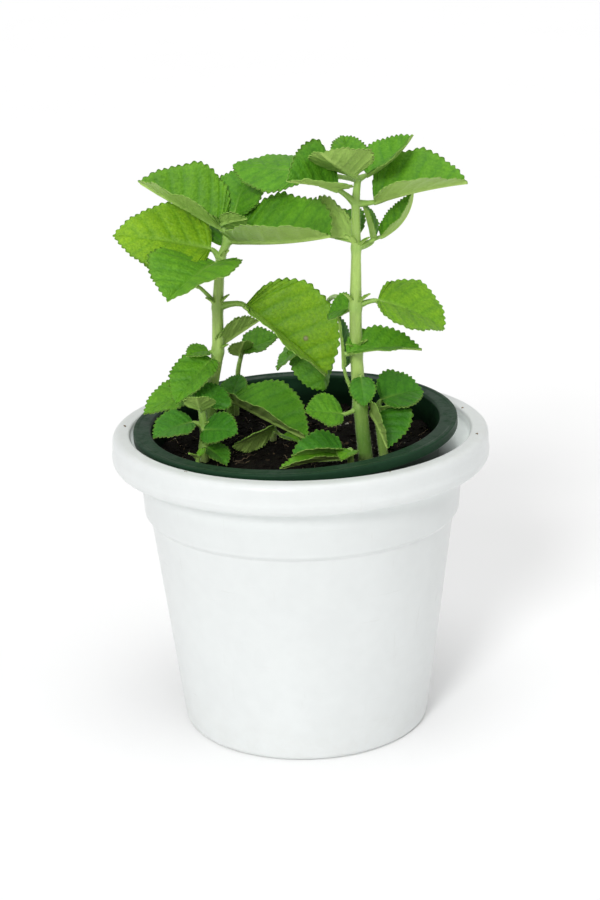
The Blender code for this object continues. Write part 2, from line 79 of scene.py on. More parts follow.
# A leaf: stalk goes from the stem's axis to the blade, blade from there to the tip, both as x, y, z.
# width: across the blade. droop: how far the midrib bends down from base to tip.
# fold: how far each half rises at the midrib. flare: how much less it rises at the margin.
# roll: turns the upper face to the leaf's right. teeth: coarse teeth on each margin in the frame.
# point: how slender the tip is.
Leaf = namedtuple("Leaf", "stalk blade width droop fold flare roll teeth point", defaults=(0.8,))
Joint = namedtuple("Joint", "place radius leaves")
Shoot = namedtuple("Shoot", "name foot radius joints")

SHOOTS = [
    Shoot("left_main", (-56, 9), 4.6, [
        Joint((-53, 10, 38), 4.3, [
            Leaf((-8, 2, 0), (-37, -8, -11), 30, 25, 18, 10, -20, 6),
        ]),
        Joint((-47, 11, 65), 4.0, [
            Leaf((-4, -4, -4), (-24, -21, -22), 34, 20, 24, 10, -12, 6),
            Leaf((-1, 1, 2), (28, 15, 13), 36, 0, 20, 8, -40, 6),
            Leaf((-6, -3, 1), (-14, -7, 0), 17, 30, 15, 5, -15, 4),
        ]),
        Joint((-45, 12, 95), 3.7, [
            Leaf((18, -4, 1), (50, -15, -45), 76, 6, 47, 8, 24, 9, 0.5),
            Leaf((-12, 2, 14), (-26, 8, 10), 34, 20, 25, 5, 0, 6),
        ]),
        Joint((-41, 12, 126), 3.0, [
            Leaf((-3, -8, 0), (-29, -47, -10), 66, 20, 23, 8, -5, 8),
            Leaf((2, 8, 8), (2, 44, 16), 48, 30, 25, 8, 0, 7),
            Leaf((-6, 0, 8), (-62, 1, 12), 56, 8, 12, 8, -38, 8),
        ]),
        Joint((-36, 12, 138), 2.6, [
            Leaf((4, -2, 1), (62, -51, 12), 64, -12, 46, 6, 14, 8, 0.3),
            Leaf((-3, 3, 9), (-52, 11, 31), 64, -8, 46, 6, -14, 8),
        ]),
        Joint((-32, 12, 148), 2.0, [
            Leaf((1, 7, 4), (12, 21, 27), 44, 20, 22, 5, 0, 7),
            Leaf((-6, -8, 4), (16, -7, 4), 18, 5, 5, 5, -50, 4),
        ]),
    ]),
    Shoot("right_main", (46, -37), 4.8, [
        Joint((44, -36, 37), 4.5, [
            Leaf((-12, -4, -3), (-23, -6, 5), 30, 10, 12, 5, -27, 6),
            Leaf((1, -7, 22), (1, -7, -17), 17, 20, 10, 5, 0, 4),
            Leaf((-9, 5, 25), (-2, 3, 34), 20, 5, 25, 5, 40, 5),
        ]),
        Joint((43, -35, 74), 4.1, [
            Leaf((-6, -8, 1), (47, 8, -2), 33, 20, 30, 5, 15, 6),
        ]),
        Joint((44, -34, 103), 3.9, [
            Leaf((14, 0, 3), (41, -4, -19), 52, 22, 15, 8, 19, 7, 0.65),
            Leaf((-4, 6, -3), (-13, 8, -5), 26, 15, 20, 5, -30, 5),
            Leaf((-19, 67, -23), (-4, -11, -49), 50, 5, -42, 5, -50, 8, 0.4),
            Leaf((-33, 73, -42), (-20, -6, -17), 40, 5, 8, 5, 10, 6),
        ]),
        Joint((46, -32, 140), 3.1, [
            Leaf((0, 4, 4), (-34, 31, 0), 52, 0, 60, 5, 25, 7, 0.6),
            Leaf((16, 3, 6), (21, 7, 26), 24, -75, 40, 5, 0, 6),
            Leaf((11, 5, 4), (-5, 0.6, 22), 22, 0, 25, 5, 0, 5),
        ]),
        Joint((47, -30, 168), 2.6, [
            Leaf((-11, -3, 10), (-30, -19, 11.3), 57, 10, 38, 5, -26, 7),
            Leaf((12, 2, 0), (57, -4, 10), 58, 12, 42, 5, 14, 8),
        ]),
        Joint((49, -29, 183), 2.1, [
            Leaf((6, 2, 2), (29, 11, 21), 38, -35, 30, 5, 5, 6),
            Leaf((-2, -6, 3), (-20, -26, 21.1), 44, -10, 25, 15, 15, 7),
            Leaf((-3, 4, 5), (-4, 24, 17), 24, 10, 25, 5, 0, 5),
            Leaf((-30, 29, 0), (-48, 26, 2), 42, 5, -6, 5, -22, 7),
        ]),
    ]),
    Shoot("left_front", (-59, -19), 3.2, [
        Joint((-59, -19, 9), 3.0, [
            Leaf((2, -4, 1), (13, -12, -8), 20, 20, 20, 5, 0, 4),
        ]),
        Joint((-58, -18, 23), 2.7, [
            Leaf((-7, -2, 4), (-25, -10, -5), 32, 20, 14, 5, -12, 5),
            Leaf((0, -4, -1), (22, -12, 1), 28, 20, 10, 5, 30, 5),
        ]),
        Joint((-59, -18, 39), 2.2, [
            Leaf((0, -2, -4), (-1, -15, 14), 21, 0, 15, 5, 0, 5),
            Leaf((3, 3, -2), (11, 13, 7), 29, 15, 9, 5, 28, 5),
        ]),
    ]),
    Shoot("middle", (-44, 39), 3.0, [
        Joint((-42, 39, 21), 2.6, [
            Leaf((1, 2, 2), (6, 12, 12), 20, 15, 15, 5, 0, 5),
            Leaf((1, -2, 1.8), (50, -46, -15), 54, -5, 44, 5, -1, 8),
        ]),
    ]),
    Shoot("back", (-40, 73), 1.9, [
        Joint((-37, 74, 31), 1.7, []),
        Joint((-33, 74, 46), 1.5, [
            Leaf((1, 0, 0), (24, 2, 8), 32, -5, 19, 5, 16, 5),
            Leaf((-2, -2, -3), (4, -13, 14), 18, 10, 15, 5, 0, 4),
        ]),
    ]),
    Shoot("centre", (-14, 16), 2.2, [
        Joint((-14, 14, 8), 2.0, [
            Leaf((0, -11, 4), (-26, -25, -2), 21, 3, -20, 5, 60, 6),
            Leaf((7, -9, -2), (10, -8, -2), 16, 15, 20, 5, 0, 4),
        ]),
    ]),
    Shoot("front_right", (36, -51), 2.2, [
        Joint((36, -50, 12), 2.0, [
            Leaf((-5, 0, 0), (-32, -4, 1), 32, 15, 35, 5, -5, 5),
            Leaf((-7, -4, -3), (-38, -7, -2), 18, 10, 38, 5, 0, 5),
            Leaf((1, -3, 1), (-7, -13, -1), 14, 15, 20, 5, 0, 4),
        ]),
    ]),
    Shoot("right_low", (58, -33), 3.2, [
        Joint((55, -31, 32), 2.6, [
            Leaf((3, 3, 6), (27, 8, 2), 38, 20, 20, 5, 25, 6),
            Leaf((-4, -1, -1), (9, -20, -17), 46, 20, 46, 5, -28, 6),
            Leaf((3, 0, 1), (7, -6, 4), 12, 10, 20, 5, 0, 3),
        ]),
    ]),
    Shoot("sprout", (-63, -42), 1.6, [
        Joint((-62, -41, 10), 1.3, [
            Leaf((-1, -1, 1), (-4, -4, 4), 7, 5, 15, 5, 0, 3),
            Leaf((1, 0, 1), (4, 3, 4), 7, 5, 15, 5, 0, 3),
        ]),
    ]),
]

# Buds in the leaf axils: the shoot, its joint, the way the bud points and its length
BUDS = [
    ("left_main", 2, (0.8, -0.3, 0.9), 8),
    ("left_main", 2, (-0.7, -0.4, 0.8), 7),
    ("left_main", 1, (0.7, -0.5, 0.6), 6),
    ("left_main", 3, (0.5, -0.5, 0.8), 7),
    ("right_main", 1, (0.6, -0.6, 0.9), 8),
    ("right_main", 1, (-0.6, -0.6, 0.7), 6),
    ("right_main", 2, (0.8, -0.4, 0.8), 9),
    ("right_main", 2, (-0.6, -0.3, 0.9), 8),
    ("right_main", 3, (-0.5, -0.5, 1.0), 9),
    ("right_main", 3, (0.8, -0.3, 0.7), 8),
    ("right_low", 0, (-0.6, -0.5, 0.8), 5),
    ("left_front", 1, (0.5, -0.6, 0.8), 4),
]

# How bright and yellow a leaf is, from 0 to 1, by shoot, then joint and leaf; the rest take USUAL_TONE
TONES = {
    "left_main": {(0, 0): 0.58, (1, 0): 0.50, (1, 1): 0.30, (2, 0): 0.86, (3, 0): 0.60, (3, 2): 1.00,
                  (4, 0): 0.52, (4, 1): 0.62, (5, 0): 0.45},
    "right_main": {(0, 1): 0.12, (0, 2): 0.10, (1, 0): 0.45, (2, 0): 0.80, (2, 1): 0.35, (3, 0): 0.55,
                   (4, 1): 0.62, (5, 0): 0.55, (5, 1): 0.62},
    "left_front": {(0, 0): 0.15, (1, 0): 0.12, (1, 1): 0.05, (2, 0): 0.25, (2, 1): 0.10},
    "middle": {(0, 0): 0.15, (0, 1): 0.30},
    "front_right": {(0, 0): 0.10},
    "right_low": {(0, 0): 0.12, (0, 1): 0.10},
    "centre": {(0, 0): 0.35},
}
USUAL_TONE = 0.42
BUD_TONE = 0.6


# Settings

def colour_setting(name, description, default):
    return FloatVectorProperty(name=name, description=description, subtype="COLOR", default=default,
                               min=0, max=1)


class PlanterSettings(PropertyGroup):
    steps: IntProperty(name="Steps", description="Sides of the planter and of the nursery pot", default=192,
                       min=24, max=360)
    white: colour_setting("White", "Colour of the planter's plastic", (0.735, 0.760, 0.755))
    green: colour_setting("Dark green", "Colour of the nursery pot's plastic", (0.0095, 0.034, 0.0155))


class SoilSettings(PropertyGroup):
    colour: colour_setting("Colour", "Colour of the damp soil", (0.0028, 0.0022, 0.0015))
    crumbs: FloatProperty(name="Crumbs", description="Crumbs of bark and peat on each square metre",
                          default=95000.0, min=0.0)
    seed: IntProperty(name="Seed", description="Seed of the scatter of crumbs and fibres", default=7)


class LeafSettings(PropertyGroup):
    thickness: FloatProperty(name="Thickness", description="Thickness of a blade at its midrib",
                             default=0.0010, min=0.0003, max=0.003, unit="LENGTH")
    teeth: FloatProperty(name="Teeth", description="Fine teeth for each coarse tooth of the frame's leaves",
                         default=2.75, min=1.0, max=4.0)
    quilting: FloatProperty(name="Quilting", description="Rise between veins, as a share of the width",
                            default=0.010, min=0.0, max=0.05)
    upper: colour_setting("Upper face", "Colour of a leaf's upper face", (0.085, 0.282, 0.010))
    under: colour_setting("Underside", "Colour of a leaf's underside", (0.330, 0.512, 0.110))
    young: colour_setting("Young leaf", "Colour of a young leaf's upper face", (0.150, 0.350, 0.016))


class StemSettings(PropertyGroup):
    sides: IntProperty(name="Sides", description="Sides of a stem", default=16, min=8, max=48)
    colour: colour_setting("Colour", "Colour of the fleshy stems", (0.345, 0.510, 0.115))
    hairs: FloatProperty(name="Hairs", description="Fine hairs on each square metre of stem",
                         default=700000.0, min=0.0)


class StageSettings(PropertyGroup):
    floor: FloatProperty(name="Floor", description="Radius of the pale floor", default=30.0, min=1.0,
                         unit="LENGTH")
    distance: FloatProperty(name="Distance", description="Camera's distance from its aim", default=1.3295,
                            min=0.3, unit="LENGTH")
    elevation: FloatProperty(name="Elevation", description="Camera's height above the aim, as an angle",
                             default=math.radians(17.7626), subtype="ANGLE")
    turn: FloatProperty(name="Roll", description="Camera's roll", default=math.radians(-1.4511),
                        subtype="ANGLE")
    lens: FloatProperty(name="Lens", description="Camera's focal length in millimetres", default=80.0,
                        min=10.0)


class OreganoSettings(PropertyGroup):
    planter: PointerProperty(type=PlanterSettings)
    soil: PointerProperty(type=SoilSettings)
    leaf: PointerProperty(type=LeafSettings)
    stem: PointerProperty(type=StemSettings)
    stage: PointerProperty(type=StageSettings)


# Node helpers

def put(tree, kind, inputs=None, **settings):
    """Adds a node. inputs maps a socket's identifier or name to a value or to another node's output."""
    made = tree.nodes.new(kind)
    for key, value in settings.items():
        setattr(made, key, value)
    for key, value in (inputs or {}).items():
        open_sockets = [s for s in made.inputs if s.enabled]
        exact = [s for s in open_sockets if s.identifier == key]
        socket = (exact or [s for s in open_sockets if s.name == key])[0]
        if isinstance(value, bpy.types.NodeSocket):
            tree.links.new(value, socket)
        else:
            socket.default_value = value
    return made


def out(made, name=None):
    """The first open output of a node, or the one with a name."""
    return [s for s in made.outputs if s.enabled and name in (None, s.name)][0]


def maths(tree, operation, *values):
    """A sum on up to three values."""
    names = ("Value", "Value_001", "Value_002")
    return out(put(tree, "ShaderNodeMath", dict(zip(names, values)), operation=operation))


def times(tree, a, b):
    return maths(tree, "MULTIPLY", a, b)


def part_of(tree, vector, axis):
    return out(put(tree, "ShaderNodeSeparateXYZ", {"Vector": vector}), axis)


def scaled(colour, factor):
    return tuple(factor * part for part in colour)


def mixed(tree, factor, a, b, blend="MIX"):
    """A colour between two others, or their product where blend says so."""
    made = put(tree, "ShaderNodeMix", data_type="RGBA", blend_type=blend)
    for socket, value in zip([s for s in made.inputs if s.enabled], (factor, a, b)):
        if isinstance(value, bpy.types.NodeSocket):
            tree.links.new(value, socket)
        else:
            socket.default_value = value if isinstance(value, float) else (*value[:3], 1.0)
    return out(made)


def chance(tree, low, high, seed, step):
    """A random number or vector between two others, from a seed that is stepped on."""
    kind = "FLOAT_VECTOR" if isinstance(low, tuple) else "FLOAT"
    drawn = {"Min": low, "Max": high, "Seed": maths(tree, "ADD", seed, float(step))}
    return out(put(tree, "FunctionNodeRandomValue", drawn, data_type=kind))


def spread(tree, value, low, high, to_low=0.0, to_high=1.0):
    """Maps a range smoothly to another."""
    return out(put(tree, "ShaderNodeMapRange", {"Value": value, "From Min": low, "From Max": high,
                                                "To Min": to_low, "To Max": to_high},
                   interpolation_type="SMOOTHSTEP"))


def cloud(tree, vector, scale, detail=2.0, **more):
    """A noise texture's value. more holds its other inputs, such as roughness."""
    inputs = {"Vector": vector, "Scale": scale, "Detail": detail}
    inputs.update((key.capitalize(), value) for key, value in more.items())
    return out(put(tree, "ShaderNodeTexNoise", inputs))


def new_tree(name, kind, ins, outs):
    """A node group with named sockets, each given as (name, socket type, default)."""
    tree = bpy.data.node_groups.new(name, kind)
    for direction, items in (("INPUT", ins), ("OUTPUT", outs)):
        for socket_name, socket_type, default in items:
            socket = tree.interface.new_socket(socket_name, in_out=direction, socket_type=socket_type)
            if default is not None:
                socket.default_value = default
    return tree, tree.nodes.new("NodeGroupInput"), tree.nodes.new("NodeGroupOutput")


def shared(name, build):
    """The node group with a name, built when it is first asked for."""
    return bpy.data.node_groups.get(name) or build()


# Shared surface effects

def effect_tree(name, size_name, size, result_name):
    """The tree of a surface effect, with its place and size and the socket that takes its result."""
    tree, given, result = new_tree(
        name, "ShaderNodeTree", [("Place", "NodeSocketVector", None), (size_name, "NodeSocketFloat", size)],
        [(result_name, "NodeSocketFloat", None)])
    return tree, given.outputs[0], given.outputs[1], result.inputs[0]


def mottle_group():
    """Slow and fine patches of tone, from 0 to 1."""
    tree, place, size, result = effect_tree("Mottle", "Patch", 60.0, "Tone")
    wide = cloud(tree, place, size, 3.0, roughness=0.6)
    fine = cloud(tree, place, times(tree, size, 7.0))
    tone = maths(tree, "MULTIPLY_ADD", wide, 0.7, times(tree, fine, 0.3))
    tree.links.new(spread(tree, tone, 0.32, 0.68), result)
    return tree


def dust_group():
    """Dust that settles on faces that look up, from 0 to 1."""
    tree, place, size, result = effect_tree("Dust", "Patch", 90.0, "Mask")
    normal = out(put(tree, "ShaderNodeNewGeometry"), "Normal")
    upward = spread(tree, part_of(tree, normal, "Z"), 0.1, 0.95)
    settled = spread(tree, cloud(tree, place, size, 5.0, roughness=0.65), 0.42, 0.75)
    tree.links.new(times(tree, upward, settled), result)
    return tree


def scuff_group():
    """Fine scratches that run round and down a moulded wall, from 0 to 1."""
    tree, place, size, result = effect_tree("Scuffs", "Length", 14.0, "Mask")
    masks = []
    for squeeze, turn in (((1.0, 1.0, 14.0), 0.25), ((9.0, 9.0, 1.0), -0.15)):
        laid = out(put(tree, "ShaderNodeMapping", {"Vector": place, "Rotation": (turn, turn, 0.0),
                                                   "Scale": squeeze}))
        lines = cloud(tree, laid, size, 6.0, roughness=0.7, distortion=0.4)
        masks.append(spread(tree, lines, 0.62, 0.72))
    tree.links.new(maths(tree, "MAXIMUM", *masks), result)
    return tree


def grain_group():
    """A fine uneven height for a bump."""
    tree, place, size, result = effect_tree("Grain", "Size", 900.0, "Height")
    cells = put(tree, "ShaderNodeTexVoronoi", {"Vector": place, "Scale": size}, feature="SMOOTH_F1")
    fine = cloud(tree, place, times(tree, size, 0.6), 4.0)
    tree.links.new(maths(tree, "ADD", out(cells, "Distance"), fine), result)
    return tree


SURFACE_EFFECTS = {"Mottle": mottle_group, "Dust": dust_group, "Scuffs": scuff_group, "Grain": grain_group}


def effect(tree, name, place, size):
    """Places a shared effect in a material and returns its output."""
    group = shared(name, SURFACE_EFFECTS[name])
    made = tree.nodes.new("ShaderNodeGroup")
    made.node_tree = group
    tree.links.new(place, made.inputs[0])
    made.inputs[1].default_value = size
    return made.outputs[0]


def new_material(name, roughness=0.5, **fixed):
    """A material with a Principled shader: returns it with its tree, its shader and object coordinates."""
    mat = bpy.data.materials.new(name)
    mat.use_nodes = True
    tree = mat.node_tree
    shader = tree.nodes["Principled BSDF"]
    shader.inputs["Roughness"].default_value = roughness
    for key, value in fixed.items():
        shader.inputs[key.replace("_", " ")].default_value = value
    place = out(put(tree, "ShaderNodeTexCoord"), "Object")
    return mat, tree, shader, place


def paint(tree, shader, shade, rough=None):
    """Gives a shader its colour and, where it varies, its roughness."""
    tree.links.new(shade, shader.inputs["Base Color"])
    if rough is not None:
        tree.links.new(rough, shader.inputs["Roughness"])


def roughen(tree, shader, place, size, distance, strength):
    """Gives a shader the bump of the shared grain."""
    height = effect(tree, "Grain", place, size)
    made = put(tree, "ShaderNodeBump", {"Height": height, "Distance": distance, "Strength": strength})
    tree.links.new(out(made), shader.inputs["Normal"])


def attribute(tree, name):
    return out(put(tree, "ShaderNodeAttribute", attribute_name=name), "Fac")


# Materials

MOUTH_RADII = (0.1128, 0.1112)  # painted glow, which lightens the shaded wall inside the planter's mouth, grows between these, in metres
MOUTH_HEIGHTS = (0.165, 0.195)
MOUTH_GLOW = (0.3128, 0.340, 0.3264)
PAINTED_SHADE_INSIDE = (0.207, 0.197)  # painted shade: the nursery pot's inner wall darkens between these heights


def white_plastic(settings):
    mat, tree, shader, place = new_material("white moulded plastic", 0.34, Specular_IOR_Level=0.45,
                                            Emission_Strength=1.0)
    white = tuple(settings.planter.white)
    shade = mixed(tree, effect(tree, "Mottle", place, 16.0), white, scaled(white, 0.955))
    scuffs = effect(tree, "Scuffs", place, 17.0)
    shade = mixed(tree, times(tree, scuffs, 0.22), shade, (0.60, 0.61, 0.58))
    height = part_of(tree, place, "Z")
    low = spread(tree, height, 0.045, 0.0, 0.0, 0.10)
    shade = mixed(tree, times(tree, low, effect(tree, "Mottle", place, 60.0)), shade, (0.52, 0.49, 0.42))
    dust = times(tree, effect(tree, "Dust", place, 120.0), 0.10)
    shade = mixed(tree, dust, shade, (0.50, 0.46, 0.38))
    paint(tree, shader, shade, maths(tree, "MULTIPLY_ADD", scuffs, 0.22, 0.32))
    # painted glow: an emission lightens the shaded inner wall round the mouth, as light through the thin wall
    # would
    reach = out(put(tree, "ShaderNodeVectorMath", {"Vector": place, "Vector_001": (1.0, 1.0, 0.0)},
                    operation="MULTIPLY"))
    radius = out(put(tree, "ShaderNodeVectorMath", {"Vector": reach}, operation="LENGTH"), "Value")
    within = times(tree, spread(tree, radius, *MOUTH_RADII), spread(tree, height, *MOUTH_HEIGHTS))
    glow = mixed(tree, within, (0.0, 0.0, 0.0), MOUTH_GLOW)
    tree.links.new(glow, shader.inputs["Emission Color"])
    roughen(tree, shader, place, 700.0, 0.00006, 0.5)
    return mat


def green_plastic(settings):
    mat, tree, shader, place = new_material("dark green pot plastic", 0.4, Specular_IOR_Level=0.09)
    green = tuple(settings.planter.green)
    shade = mixed(tree, effect(tree, "Mottle", place, 30.0), green, scaled(green, 1.35))
    dust = effect(tree, "Dust", place, 160.0)
    shade = mixed(tree, times(tree, dust, 0.04), shade, (0.060, 0.080, 0.045))
    scuffs = effect(tree, "Scuffs", place, 26.0)
    shade = mixed(tree, times(tree, scuffs, 0.12), shade, (0.070, 0.11, 0.070))
    height = part_of(tree, place, "Z")
    # painted shade down the nursery pot's inner wall below its lip
    shade = mixed(tree, spread(tree, height, *PAINTED_SHADE_INSIDE, 0.0, 0.75), shade, scaled(green, 0.2))
    paint(tree, shader, shade, maths(tree, "MULTIPLY_ADD", dust, 0.25, 0.34))
    roughen(tree, shader, place, 800.0, 0.00008, 0.6)
    return mat


def soil_material(settings):
    mat, tree, shader, place = new_material("damp potting soil", 0.92, Specular_IOR_Level=0.12)
    dark = tuple(settings.soil.colour)
    shade = mixed(tree, effect(tree, "Mottle", place, 120.0), dark, scaled(dark, 2.6))
    grit = put(tree, "ShaderNodeTexVoronoi", {"Vector": place, "Scale": 420.0})
    specks = spread(tree, out(grit, "Distance"), 0.16, 0.08)
    shade = mixed(tree, times(tree, specks, 0.12), shade, (0.09, 0.07, 0.05))
    paint(tree, shader, shade)
    roughen(tree, shader, place, 500.0, 0.0012, 0.9)
    return mat


def crumb_material(settings):
    mat, tree, shader, place = new_material("bark and peat crumbs", 0.85, Specular_IOR_Level=0.12)
    tint = attribute(tree, "tint")
    dark = tuple(settings.soil.colour)
    shade = mixed(tree, spread(tree, tint, 0.2, 0.8), dark, (0.010, 0.0075, 0.005))
    shade = mixed(tree, spread(tree, tint, 0.93, 0.97), shade, (0.10, 0.07, 0.04))
    shade = mixed(tree, spread(tree, tint, 0.985, 0.991), shade, (0.42, 0.40, 0.34))
    damp = times(tree, effect(tree, "Mottle", place, 700.0), 0.7)
    shade = mixed(tree, damp, shade, (0.009, 0.006, 0.004))
    paint(tree, shader, shade)
    roughen(tree, shader, place, 1400.0, 0.0004, 0.8)
    return mat


def fibre_material(settings):
    mat, tree, shader, place = new_material("fine roots", 0.8)
    shade = mixed(tree, effect(tree, "Mottle", place, 200.0), (0.10, 0.065, 0.035), (0.26, 0.19, 0.11))
    paint(tree, shader, shade)
    roughen(tree, shader, place, 2200.0, 0.0001, 0.7)
    return mat


def leaf_material(settings):
    """Upper face, underside, veins and rim of every blade, from the blades' own attributes."""
    mat, tree, shader, place = new_material(
        "oregano leaf", 0.55, Specular_IOR_Level=0.26, Sheen_Weight=0.06, Sheen_Roughness=0.45,
        Sheen_Tint=(0.85, 0.98, 0.45, 1.0))
    leaf = settings.leaf
    under, vein, rim = attribute(tree, "under"), attribute(tree, "vein"), attribute(tree, "rim")
    tone, age = attribute(tree, "tone"), attribute(tree, "age")
    red, green, blue = leaf.upper
    dark, bright = (0.42 * red, 0.66 * green, 0.9 * blue), (2.1 * red, 1.36 * green, 0.9 * blue)
    shade = mixed(tree, spread(tree, tone, 0.0, 0.5), dark, (red, green, blue))
    shade = mixed(tree, spread(tree, tone, 0.5, 1.0), shade, bright)
    shade = mixed(tree, age, shade, tuple(leaf.young))
    patches = effect(tree, "Mottle", place, 70.0)
    clouds = mixed(tree, patches, (0.80, 0.84, 0.85), (1.15, 1.10, 1.05))
    shade = mixed(tree, 1.0, shade, clouds, "MULTIPLY")
    # painted glints: a fine speckle, brighter and darker, stands in for light caught by the fine hairs
    down = spread(tree, cloud(tree, place, 520.0, 3.0, roughness=0.7), 0.36, 0.66)
    fuzz = mixed(tree, down, (0.86, 0.90, 0.80), (1.19, 1.12, 1.22))
    shade = mixed(tree, 1.0, shade, fuzz, "MULTIPLY")
    # painted highlight on the raised panels between the veins
    ridge_highlight = times(tree, attribute(tree, "quilt"), 0.22)
    shade = mixed(tree, ridge_highlight, shade, mixed(tree, 1.0, shade, (1.7, 1.32, 1.1), "MULTIPLY"))
    # painted shade in the sunken veins of the upper face
    vein_groove_shade = mixed(tree, 1.0, shade, (0.66, 0.76, 0.95), "MULTIPLY")
    shade = mixed(tree, times(tree, vein, 0.55), shade, vein_groove_shade)
    shade = mixed(tree, attribute(tree, "midrib"), shade, (0.290, 0.500, 0.080))
    shade = mixed(tree, times(tree, rim, 0.50), shade, (0.21, 0.43, 0.045))
    pale = tuple(leaf.under)
    below = mixed(tree, patches, scaled(pale, 0.92), scaled(pale, 1.06))
    veins = maths(tree, "MAXIMUM", times(tree, vein, 0.22), attribute(tree, "keel"))
    below = mixed(tree, veins, below, (0.45, 0.64, 0.16))
    shade = mixed(tree, under, shade, below)
    freckles = put(tree, "ShaderNodeTexVoronoi", {"Vector": place, "Scale": 85.0})
    spots = spread(tree, out(freckles, "Distance"), 0.045, 0.025, 0.0, 0.4)
    shade = mixed(tree, spots, shade, (0.08, 0.15, 0.015))
    shade = blemish(tree, place, shade)
    paint(tree, shader, shade, maths(tree, "MULTIPLY_ADD", patches, 0.12, 0.48))
    roughen(tree, shader, place, 650.0, 0.00045, 0.75)
    return mat


BLEMISH = Vector((0.0051, -0.0046, 0.2648))  # on the big leaf at the centre
BLEMISH_RADIUS = 0.0017


def blemish(tree, place, shade):
    """A small dry spot: a brown ring round a paler middle."""
    away = out(put(tree, "ShaderNodeVectorMath", {"Vector": place, "Vector_001": BLEMISH},
                   operation="DISTANCE"), "Value")
    ring = spread(tree, away, BLEMISH_RADIUS * 1.35, BLEMISH_RADIUS * 0.8)
    middle = spread(tree, away, BLEMISH_RADIUS * 0.8, BLEMISH_RADIUS * 0.4)
    shade = mixed(tree, times(tree, ring, 0.7), shade, (0.20, 0.17, 0.07))
    return mixed(tree, times(tree, middle, 0.85), shade, (0.34, 0.33, 0.20))


def stem_material(settings):
    mat, tree, shader, place = new_material(
        "fleshy oregano stem", 0.42, Specular_IOR_Level=0.5, Sheen_Weight=0.10, Sheen_Roughness=0.4,
        Sheen_Tint=(0.9, 1.0, 0.75, 1.0))
    colour = tuple(settings.stem.colour)
    long = put(tree, "ShaderNodeMapping", {"Vector": place, "Scale": (1.0, 1.0, 0.12)})
    streaks = effect(tree, "Mottle", out(long), 260.0)
    shade = mixed(tree, streaks, scaled(colour, 0.80), scaled(colour, 1.18))
    shade = mixed(tree, attribute(tree, "age"), shade, (0.215, 0.430, 0.055))
    shade = mixed(tree, times(tree, attribute(tree, "joint"), 0.5), shade, (0.26, 0.46, 0.085))
    low = times(tree, attribute(tree, "low"), 0.85)
    shade = mixed(tree, low, shade, mixed(tree, streaks, (0.085, 0.235, 0.026), (0.135, 0.300, 0.040)))
    foot = attribute(tree, "foot")
    shade = mixed(tree, times(tree, foot, 0.6), shade, (0.22, 0.24, 0.10))
    paint(tree, shader, shade)
    roughen(tree, shader, place, 1500.0, 0.0002, 0.45)
    return mat


def hair_material(settings):
    mat, tree, shader, place = new_material("fine hairs")
    shade = mixed(tree, effect(tree, "Mottle", place, 400.0), (0.62, 0.76, 0.42), (0.78, 0.86, 0.62))
    paint(tree, shader, shade)
    return mat


def floor_material():
    mat, tree, shader, place = new_material("pale floor", 0.75, Specular_IOR_Level=0.2)
    shade = mixed(tree, effect(tree, "Mottle", place, 1.5), (0.955, 0.955, 0.955), (0.965, 0.965, 0.965))
    paint(tree, shader, shade)
    return mat


MATERIALS = {
    "white": white_plastic, "green": green_plastic, "soil": soil_material, "crumb": crumb_material,
    "fibre": fibre_material, "leaf": leaf_material, "stem": stem_material, "hair": hair_material,
}
made_materials = {}


def finish_of(key, settings):
    if key not in made_materials:
        made_materials[key] = MATERIALS[key](settings)
    return made_materials[key]


# Meshes and pieces

def mesh_of(name, points, faces, to_metres=MM):
    mesh = bpy.data.meshes.new(name)
    mesh.from_pydata((np.asarray(points, float) * to_metres).tolist(), [], faces)
    mesh.update()
    return mesh


def turn_out(mesh, merge=1e-6):
    """Merges doubles, turns every face outwards and shades the mesh smooth."""
    work = bmesh.new()
    work.from_mesh(mesh)
    bmesh.ops.remove_doubles(work, verts=work.verts, dist=merge)
    bmesh.ops.recalc_face_normals(work, faces=work.faces)
    work.to_mesh(mesh)
    work.free()
    mesh.shade_smooth()
    return mesh


def add_values(mesh, **columns):
    """Stores one number for each vertex under each name."""
    for name, values in columns.items():
        layer = mesh.attributes.new(name, "FLOAT", "POINT")
        layer.data.foreach_set("value", np.asarray(values, np.float32))


def dress(tree, geometry, material, result):
    """Ends a geometry tree: it makes the copies real and gives them their material."""
    real = put(tree, "GeometryNodeRealizeInstances", {"Geometry": geometry})
    dressed = put(tree, "GeometryNodeSetMaterial", {"Geometry": out(real), "Material": material})
    tree.links.new(out(dressed), result.inputs[0])
    return tree


def grown(name, mesh, tree, values):
    """Runs a geometry tree on a mesh and returns the plain mesh that comes out."""
    carrier = bpy.data.objects.new(name + "_carrier", mesh)
    bpy.context.scene.collection.objects.link(carrier)
    modifier = carrier.modifiers.new("grow", "NODES")
    modifier.node_group = tree
    for item in tree.interface.items_tree:
        if item.item_type == "SOCKET" and item.in_out == "INPUT" and item.name in values:
            modifier[item.identifier] = values[item.name]
    depsgraph = bpy.context.evaluated_depsgraph_get()
    evaluated = carrier.evaluated_get(depsgraph)
    result = bpy.data.meshes.new_from_object(evaluated, preserve_all_data_layers=True, depsgraph=depsgraph)
    bpy.data.objects.remove(carrier)
    result.name = name
    return result


def finished(name, mesh, slot_name, *nodes):
    """Adds a finished piece to the object: it rides on the body and may stand for nodes of the frame."""
    piece = bpy.data.objects.new(name, mesh)
    bpy.context.scene.collection.objects.link(piece)
    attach(piece, "root")
    if nodes:
        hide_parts(*nodes)
    return piece


# Turned pieces

